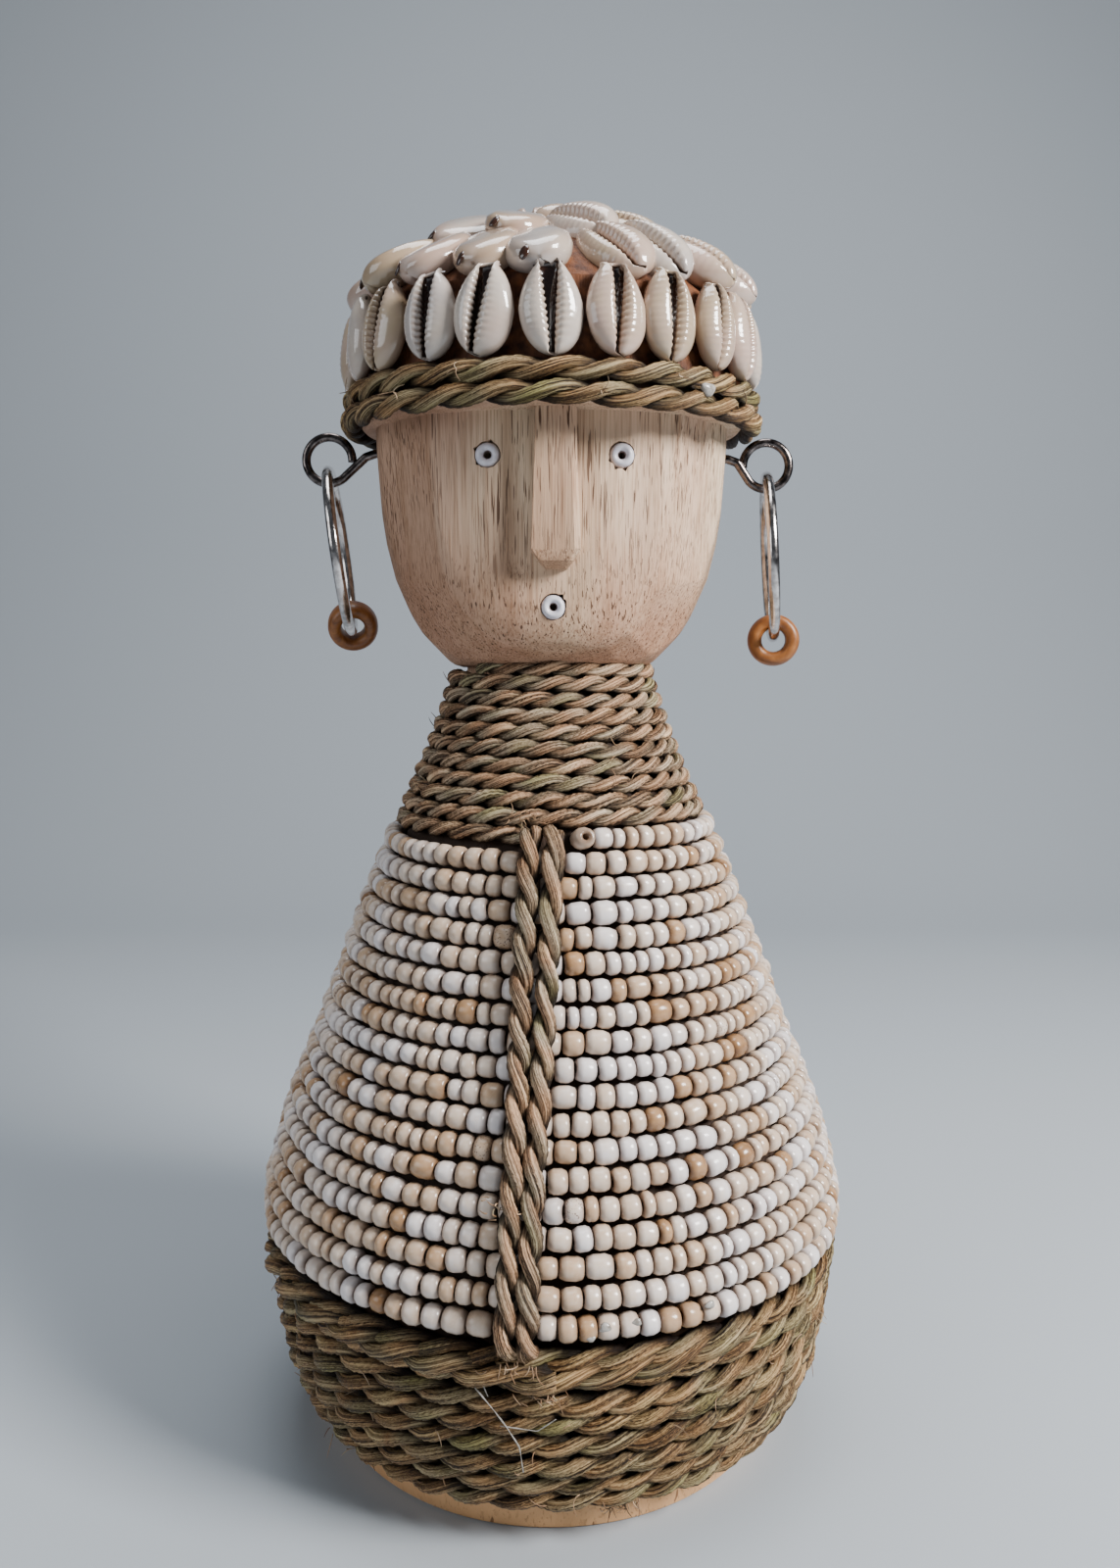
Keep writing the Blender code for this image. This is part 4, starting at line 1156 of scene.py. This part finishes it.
def cowrie_mesh(rng, thick, open_end):
    """One cowrie: length along Z with its narrow end up, its toothed slit facing -Y.

    thick is how much higher than the sliced rim shells it stands, and without an open end
    its slit all but closes.
    """
    ends = np.cos(np.linspace(0, math.acos(STRAIGHT), 7))
    rows = np.concatenate([-ends, np.linspace(-STRAIGHT, STRAIGHT, 52)[1:-1], ends[::-1]])
    open_top = rng.uniform(0.24, 0.36) if thick == 1.0 else rng.uniform(0.08, 0.16)
    open_bottom = rng.uniform(0.08, 0.13) if open_end else 0.03
    slit_top = rng.uniform(0.00, 0.10)
    slit_bottom = rng.uniform(-0.15, -0.06)
    skew = rng.uniform(-0.05, 0.12)
    points, depths, grooves = [], [], []
    for u in rows:
        half = 0.54 * max(1 - abs(u) ** 2.25, 0.0) ** 0.5 * (1 - 0.26 * max(u, 0))
        half = max(half, 0.02 if u < 0 else 0.19 * min(u / 0.9, 1.0))
        front = 0.62 * max(1 - abs(u) ** 2.5, 0.0) ** 0.55 + 0.05
        back = 0.38 * max(1 - u**4, 0.0) ** 0.5 + 0.04
        share = (u + 1) / 2
        middle = slit_bottom + (slit_top - slit_bottom) * share**1.3
        gap = open_bottom + (open_top - open_bottom) * share**1.5
        gap = min(gap, (1.3 if u < 0 else 1.72) * half)
        middle = max(min(middle, half - gap / 2 - 0.01), gap / 2 + 0.01 - half)
        fade = max(0.0, 1 - (abs(u) / 0.93) ** 8)
        tooth = math.cos(TURN * TEETH * share / 0.9)
        halves = []
        for side, teeth_in, teeth_up, reach, darker in (
            (-1, 0.035, 0.5, 0.22, 0.75),
            (1, 0.018, 1.0, 0.42, 0.45),
        ):
            edge = middle + side * (gap / 2 - teeth_in * (0.5 + 0.5 * tooth) * fade)
            width = abs(side * half - edge)
            # The first points lie inside the slit, painted near black as shade through their depth
            part = [
                (middle + side * gap * 0.3, -0.55 * back, 1.0, 0.0),
                (edge + side * 0.25 * gap, 0.1 * front, 1.0, 0.0),
                (edge + side * 0.05 * gap, 0.42 * front, 0.75, 0.6),
            ]
            for q in LIP_STEPS:
                lip = (1 - q**2.3) ** 0.5 * (1 - 0.42 * math.exp(-((q / 0.13) ** 2)))
                ridge = math.exp(-((q / reach) ** 2)) * fade
                lip += 0.035 * teeth_up * tooth * ridge
                dark = ridge * (0.5 - 0.5 * tooth) * darker
                # Painted shade growing towards the flank
                dark = max(dark, 0.22 * max(q - 0.7, 0) / 0.3)
                part.append((edge + side * width * q, front * lip, 0.0, dark))
            # The flank points, browned as painted shade towards the outline
            part += [
                (side * half, 0.0, 0.0, 0.30),
                (side * half * 0.92, -0.62 * back, 0.0, 0.50),
                (side * half * 0.62, -0.98 * back, 0.0, 0.35),
            ]
            halves.append(part)
        loop = halves[0] + [(0.0, -back, 0.0, 0.0)] + halves[1][::-1]
        for x, y, depth, dark in loop:
            z = u * 0.5 * (0.93 if depth > 0.7 else 1.0) + skew * x * max(u, 0) ** 2
            points.append((x * COWRIE_WIDTH, -y * COWRIE_THICKNESS * thick, z * COWRIE_LENGTH))
            depths.append(depth)
            grooves.append(dark)
    faces = grid_faces(len(rows), len(loop), capped=True)
    return np.array(points), faces, depths, grooves


def bored_hole(points):
    """A flattened dark ball set on the broad end of a shell, painted near black as the shade of a
    bored hole, as (points, faces).
    """
    sizes = np.array([COWRIE_WIDTH, COWRIE_THICKNESS, COWRIE_LENGTH])
    aim = unit(np.array([0.22, 0.16, -0.5]) * sizes)
    at = points[np.argmax(unit(points) @ aim)]
    out = unit(at / (sizes / 2) ** 2)
    return oval(at, out, (0, 1, 0), np.array([1.0, 1.5, 0.35]) * MM, 6, 12, 0.2)


def lay_cowrie(heap, rng, place, slope, turn, roll, size, thick=1.0, hole=False):
    """Adds a cowrie at (azimuth, radius, height) of the hat, with its back to the hat."""
    azimuth, radius, height = place
    points, faces, depths, grooves = cowrie_mesh(rng, thick, not hole)
    spot = Matrix.Rotation(azimuth, 4, "Z") @ Matrix.Translation((0, -radius, height))
    spot = spot @ Matrix.Rotation(slope - math.pi / 2, 4, "X") @ Matrix.Rotation(turn, 4, "Y")
    spot = HAT_FRAME @ (spot @ Matrix.Rotation(roll, 4, "Z") @ Matrix.Scale(size, 4))
    tone = rng.uniform(0, 1)
    heap.add(placed(points, spot), faces, depth=depths, groove=grooves, tone=tone)
    # A dark ball as the painted shade of a bored hole
    if hole:
        points, faces = bored_hole(points)
        heap.add(placed(points, spot), faces, depth=1.0, groove=0.0, tone=tone)


def rim_cowries():
    """The row round the hat's side, standing on its rope."""
    rng = np.random.default_rng(21)
    heap = Heap()
    middle = ROPE_BAND + COWRIE_LENGTH / 2
    radius = hat_wall_radius(middle) + COWRIE_THICKNESS / 2 + GAP
    for i in range(RIM_COWRIES):
        azimuth = TURN * i / RIM_COWRIES + rng.normal(0, 0.012)
        slope = math.pi / 2 - HAT_TAPER + rng.normal(0, 0.03)
        turn = rng.normal(0, 0.05)
        roll = rng.normal(0, 0.10)
        place = (azimuth, radius, middle)
        lay_cowrie(heap, rng, place, slope, turn, roll, rng.uniform(1.0, 1.07))
    nodes = [f"rim_cowrie_{i + 1:02d}" for i in range(RIM_COWRIES)]
    heap.piece("rim_shells", SHELL, nodes, "cowrie_shell")


def lie_of(rng, azimuth):
    """(turn, roll, hole) of a shell on top: backs up on the doll's right, slits up on its left."""
    across = math.sin(azimuth)
    if across < 0.2:
        return rng.normal(0.05, 0.15), math.pi + rng.normal(0, 0.2), True
    return -0.75 * (1 - across) + rng.normal(0, 0.08), rng.normal(-0.35, 0.12), False


EDGE_RADIUS, EDGE_HEIGHT, EDGE_THICK = 37.2 * MM, 33.6 * MM, 1.15
CROWN_COWRIES = 12
CROWN_RADIUS, CROWN_HEIGHT, CROWN_SIZE, CROWN_THICK = 24.0 * MM, 42.0 * MM, 1.12, 1.1
TOP_COWRIES = 3
TOP_RADIUS, TOP_HEIGHT, TOP_SIZE, TOP_THICK = 5.6 * MM, 48.0 * MM, 0.95, 1.2


def edge_cowries():
    """The ring that rests on the rim shells, its outer ends hanging over them."""
    rng = np.random.default_rng(22)
    heap = Heap()
    for i in range(EDGE_COWRIES):
        azimuth = TURN * (i - 0.1) / EDGE_COWRIES + rng.normal(0, 0.03)
        beside = max(abs(math.sin(azimuth)) - 0.6, 0.0) / 0.4
        slope = math.radians(29 - 6 * beside) + rng.normal(0, 0.05)
        turn, roll, hole = lie_of(rng, azimuth)
        radius = EDGE_RADIUS + (2.6 * beside + rng.normal(0, 0.5)) * MM
        height = EDGE_HEIGHT + (0.6 * beside + rng.normal(0, 0.3)) * MM
        size = rng.uniform(1.13, 1.19)
        place = (azimuth, radius, height)
        lay_cowrie(heap, rng, place, slope, turn, roll, size, EDGE_THICK, hole)
    nodes = [f"edge_cowrie_{i + 1:02d}" for i in range(EDGE_COWRIES)]
    heap.piece("edge_shells", SHELL, nodes, "cowrie_shell")


def crown_cowries():
    """The ring inside that one, and the three shells at the very top."""
    rng = np.random.default_rng(23)
    heap = Heap()
    for i in range(CROWN_COWRIES):
        azimuth = TURN * (i + 0.45) / CROWN_COWRIES + rng.normal(0, 0.04)
        slope = math.radians(15) + rng.normal(0, 0.05)
        turn, roll, hole = lie_of(rng, azimuth)
        radius = CROWN_RADIUS + rng.normal(0, 0.6) * MM
        place = (azimuth, radius, CROWN_HEIGHT + rng.normal(0, 0.3) * MM)
        lay_cowrie(heap, rng, place, slope, turn, roll, CROWN_SIZE, CROWN_THICK, hole)
    for i in range(TOP_COWRIES):
        place = (TURN * (i + 0.3) / TOP_COWRIES, TOP_RADIUS, TOP_HEIGHT)
        lay_cowrie(heap, rng, place, 0.1, math.pi / 2, 0.0, TOP_SIZE, TOP_THICK)
    nodes = ["crown_cowries_1", "crown_cowries_2", "crown_cowries_3", "top_cowries"]
    heap.piece("crown_shells", SHELL, nodes, "cowrie_shell")


# Earrings and face beads


EYE_WIRE = 2.2 * MM
EYE_RING_RADIUS = 5.7 * MM
HOOP_WIRE = 2.7 * MM
HOOP_RADIUS = 19.75 * MM
# How far past the head's side each bend of a screw eye's leg lies, and how far down
LEG_BENDS = ((-10 * MM, 0.0), (0.6 * MM, 0.0), (3.2 * MM, 0.9 * MM))
# Side, lean and turn of each hoop, and how far its bead has slid round it, in degrees
EARRINGS = (("left", -1, 7, 6.3, 28), ("right", 1, -3.5, 7.5, 0))
# Outer radius, hole radius and half height of the ring beads
EARRING_BEAD = (6.5 * MM, 2.9 * MM, 3.2 * MM)
FACE_BEAD = (2.85 * MM, 0.7 * MM, 2.0 * MM)
HOLE_RIM = 0.9 * MM
SECTION_STEPS = 24


def ring_bead(sizes, rows, across=1.0, along=1.0):
    """(points, section's radii) of a ring bead round Z. Powers under 1 square its section."""
    outer, hole, half = sizes
    cosine, sine = np.cos(circle(SECTION_STEPS)), np.sin(circle(SECTION_STEPS))
    radius = (outer + hole) / 2
    radius = radius + (outer - hole) / 2 * np.sign(cosine) * np.abs(cosine) ** across
    height = half * np.sign(sine) * np.abs(sine) ** along
    turns = circle(rows)[:, None]
    return xyz(np.cos(turns) * radius, np.sin(turns) * radius, height).reshape(-1, 3), radius


def screw_eye(name, side):
    """The bent wire of a screw eye. Returns the middle of its ring."""
    low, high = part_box(f"screw_eye_{name}")
    outer = low.x if side < 0 else high.x
    middle = outer - side * (EYE_RING_RADIUS + EYE_WIRE / 2)
    height = high.z - EYE_RING_RADIUS - EYE_WIRE / 2
    turns = np.radians(np.linspace(222, 222 + 322, 64))
    across, up = EYE_RING_RADIUS * np.cos(turns), EYE_RING_RADIUS * np.sin(turns)
    ring = xyz(middle + side * across, np.linspace(0, 0.9 * MM, len(turns)), height + up)
    leg_height = height + 1.6 * MM
    leg = [(side * (HEAD_RADIUS + past), 0, leg_height - down) for past, down in LEG_BENDS]
    path = np.concatenate([leg, ring])
    walked = lengths_along(path)
    path = along_path(path, walked, np.linspace(0, walked[-1], 120))
    points, faces = tube(path, EYE_WIRE / 2)
    nodes = [f"screw_eye_{name}"]
    make_piece(f"screw_eye_wire_{name}", points, faces, DARK_METAL, nodes)
    return middle, height


def earrings():
    """The screw eyes, the hoops in them and the bead on each hoop."""
    for name, side, *degrees in EARRINGS:
        lean, turn, slid = np.radians(degrees)
        middle, height = screw_eye(name, side)
        hook = height - EYE_RING_RADIUS + EYE_WIRE / 2 + GAP + HOOP_WIRE / 2
        hang = Euler((0, side * lean, -side * turn)).to_matrix().to_4x4()
        pivot = Matrix.Translation((middle, 0, hook)) @ hang
        turns = circle(120)
        hoop = HOOP_RADIUS * xyz(0, np.sin(turns), np.cos(turns) - 1)
        points, faces = tube(placed(hoop, pivot), HOOP_WIRE / 2, 20, closed=True)
        nodes = [f"hoop_{name}"]
        make_piece(f"hoop_ring_{name}", points, faces, BRIGHT_METAL, nodes)

        points, _ = ring_bead(EARRING_BEAD, 48, 0.85, 0.75)
        hangs = HOOP_RADIUS + (6.0 * MM - HOOP_WIRE) / 4
        below = (0, hangs * math.sin(slid), -HOOP_RADIUS - hangs * math.cos(slid))
        spot = pivot @ Matrix.Translation(below) @ Matrix.Rotation(math.pi / 2 + slid, 4, "X")
        faces = flipped(grid_faces(48, SECTION_STEPS, joined=True))
        points = placed(points, spot)
        nodes = [f"earring_bead_{name}"]
        make_piece(f"ring_bead_{name}", points, faces, EARRING_WOOD, nodes)


def face_beads():
    """Ring beads in the three sockets, each with its hole facing out."""
    places = {"eye_bead_left": LEFT_EYE, "eye_bead_right": RIGHT_EYE, "mouth_bead": MOUTH}
    for name, (x, z) in places.items():
        points, radius = ring_bead(FACE_BEAD, 40)
        low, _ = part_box(name)
        points = points[:, [0, 2, 1]] + np.array([x, low.y + FACE_BEAD[2], z])
        # rim: painted shade on the hole's inner wall
        rim = np.where(np.tile(radius, 40) < HOLE_RIM, 1.0, 0.0)
        faces = grid_faces(40, SECTION_STEPS, joined=True)
        make_piece(f"{name}_ring", points, faces, WHITE_BEAD, [name], {"rim": rim})


# Camera, light and floor


FLOOR_REACH, FLOOR_BACK, FLOOR_CURVE = 3.0, 0.9, 0.35
FLOOR_COLOUR = (0.36, 0.395, 0.43, 1.0)
SKY_COLOUR = (0.80, 0.88, 1.0, 1.0)
SKY_STRENGTH = 0.11
AIM = Vector((0, 0, 0.15))
# Name, place, size, power and colour of each lamp
LAMPS = (
    ("key", (0.62, -0.38, 0.60), 0.28, 18.0, (1.0, 0.98, 0.96)),
    ("window", (-0.70, -0.40, 0.45), 0.50, 2.3, (0.92, 0.96, 1.0)),
    ("top", (0.0, 0.05, 1.15), 0.60, 8.0, (0.95, 0.97, 1.0)),
)


def studio():
    """The camera, a floor that curves up into the wall behind, and the light."""
    data = bpy.data.cameras.new("camera")
    data.lens = CAMERA_LENS
    data.sensor_width = 36.0
    data.clip_start = 0.01
    camera = new_object("camera", data)
    camera.location = CAMERA_AT
    camera.rotation_euler = (math.pi / 2 + CAMERA_PITCH, 0, 0)
    bpy.context.scene.camera = camera

    bend = np.radians(np.linspace(8, 90, 12))
    deep = FLOOR_BACK - FLOOR_CURVE * (1 - np.sin(bend))
    deep = np.concatenate([[-FLOOR_REACH, FLOOR_BACK - FLOOR_CURVE], deep, [FLOOR_BACK]])
    high = np.concatenate([[0, 0], FLOOR_CURVE * (1 - np.cos(bend)), [2.5]])
    points = xyz([-FLOOR_REACH, FLOOR_REACH], deep[:, None], high[:, None])
    faces = [(2 * i, 2 * i + 1, 2 * i + 3, 2 * i + 2) for i in range(len(deep) - 1)]
    floor = mesh_object("floor", points, faces)
    floor.data.shade_smooth()
    floor.data.materials.append(Look("floor").finish(FLOOR_COLOUR, 0.9))

    world = bpy.data.worlds.new("studio")
    bpy.context.scene.world = world
    world.use_nodes = True
    background = world.node_tree.nodes["Background"]
    background.inputs["Color"].default_value = SKY_COLOUR
    background.inputs["Strength"].default_value = SKY_STRENGTH
    for name, place, size, power, colour in LAMPS:
        lamp = bpy.data.lights.new(name, "AREA")
        lamp.shape = "SQUARE"
        lamp.size = size
        lamp.energy = power
        lamp.color = colour
        made = new_object(name, lamp)
        made.location = place
        made.rotation_euler = (AIM - Vector(place)).to_track_quat("-Z", "Y").to_euler()


studio()
wooden_figure()
bead_string()
wound_ropes()
base_top_rope()
loose_fibres()
glue()
front_cords()
hat_ropes()
rim_cowries()
edge_cowries()
crown_cowries()
earrings()
face_beads()
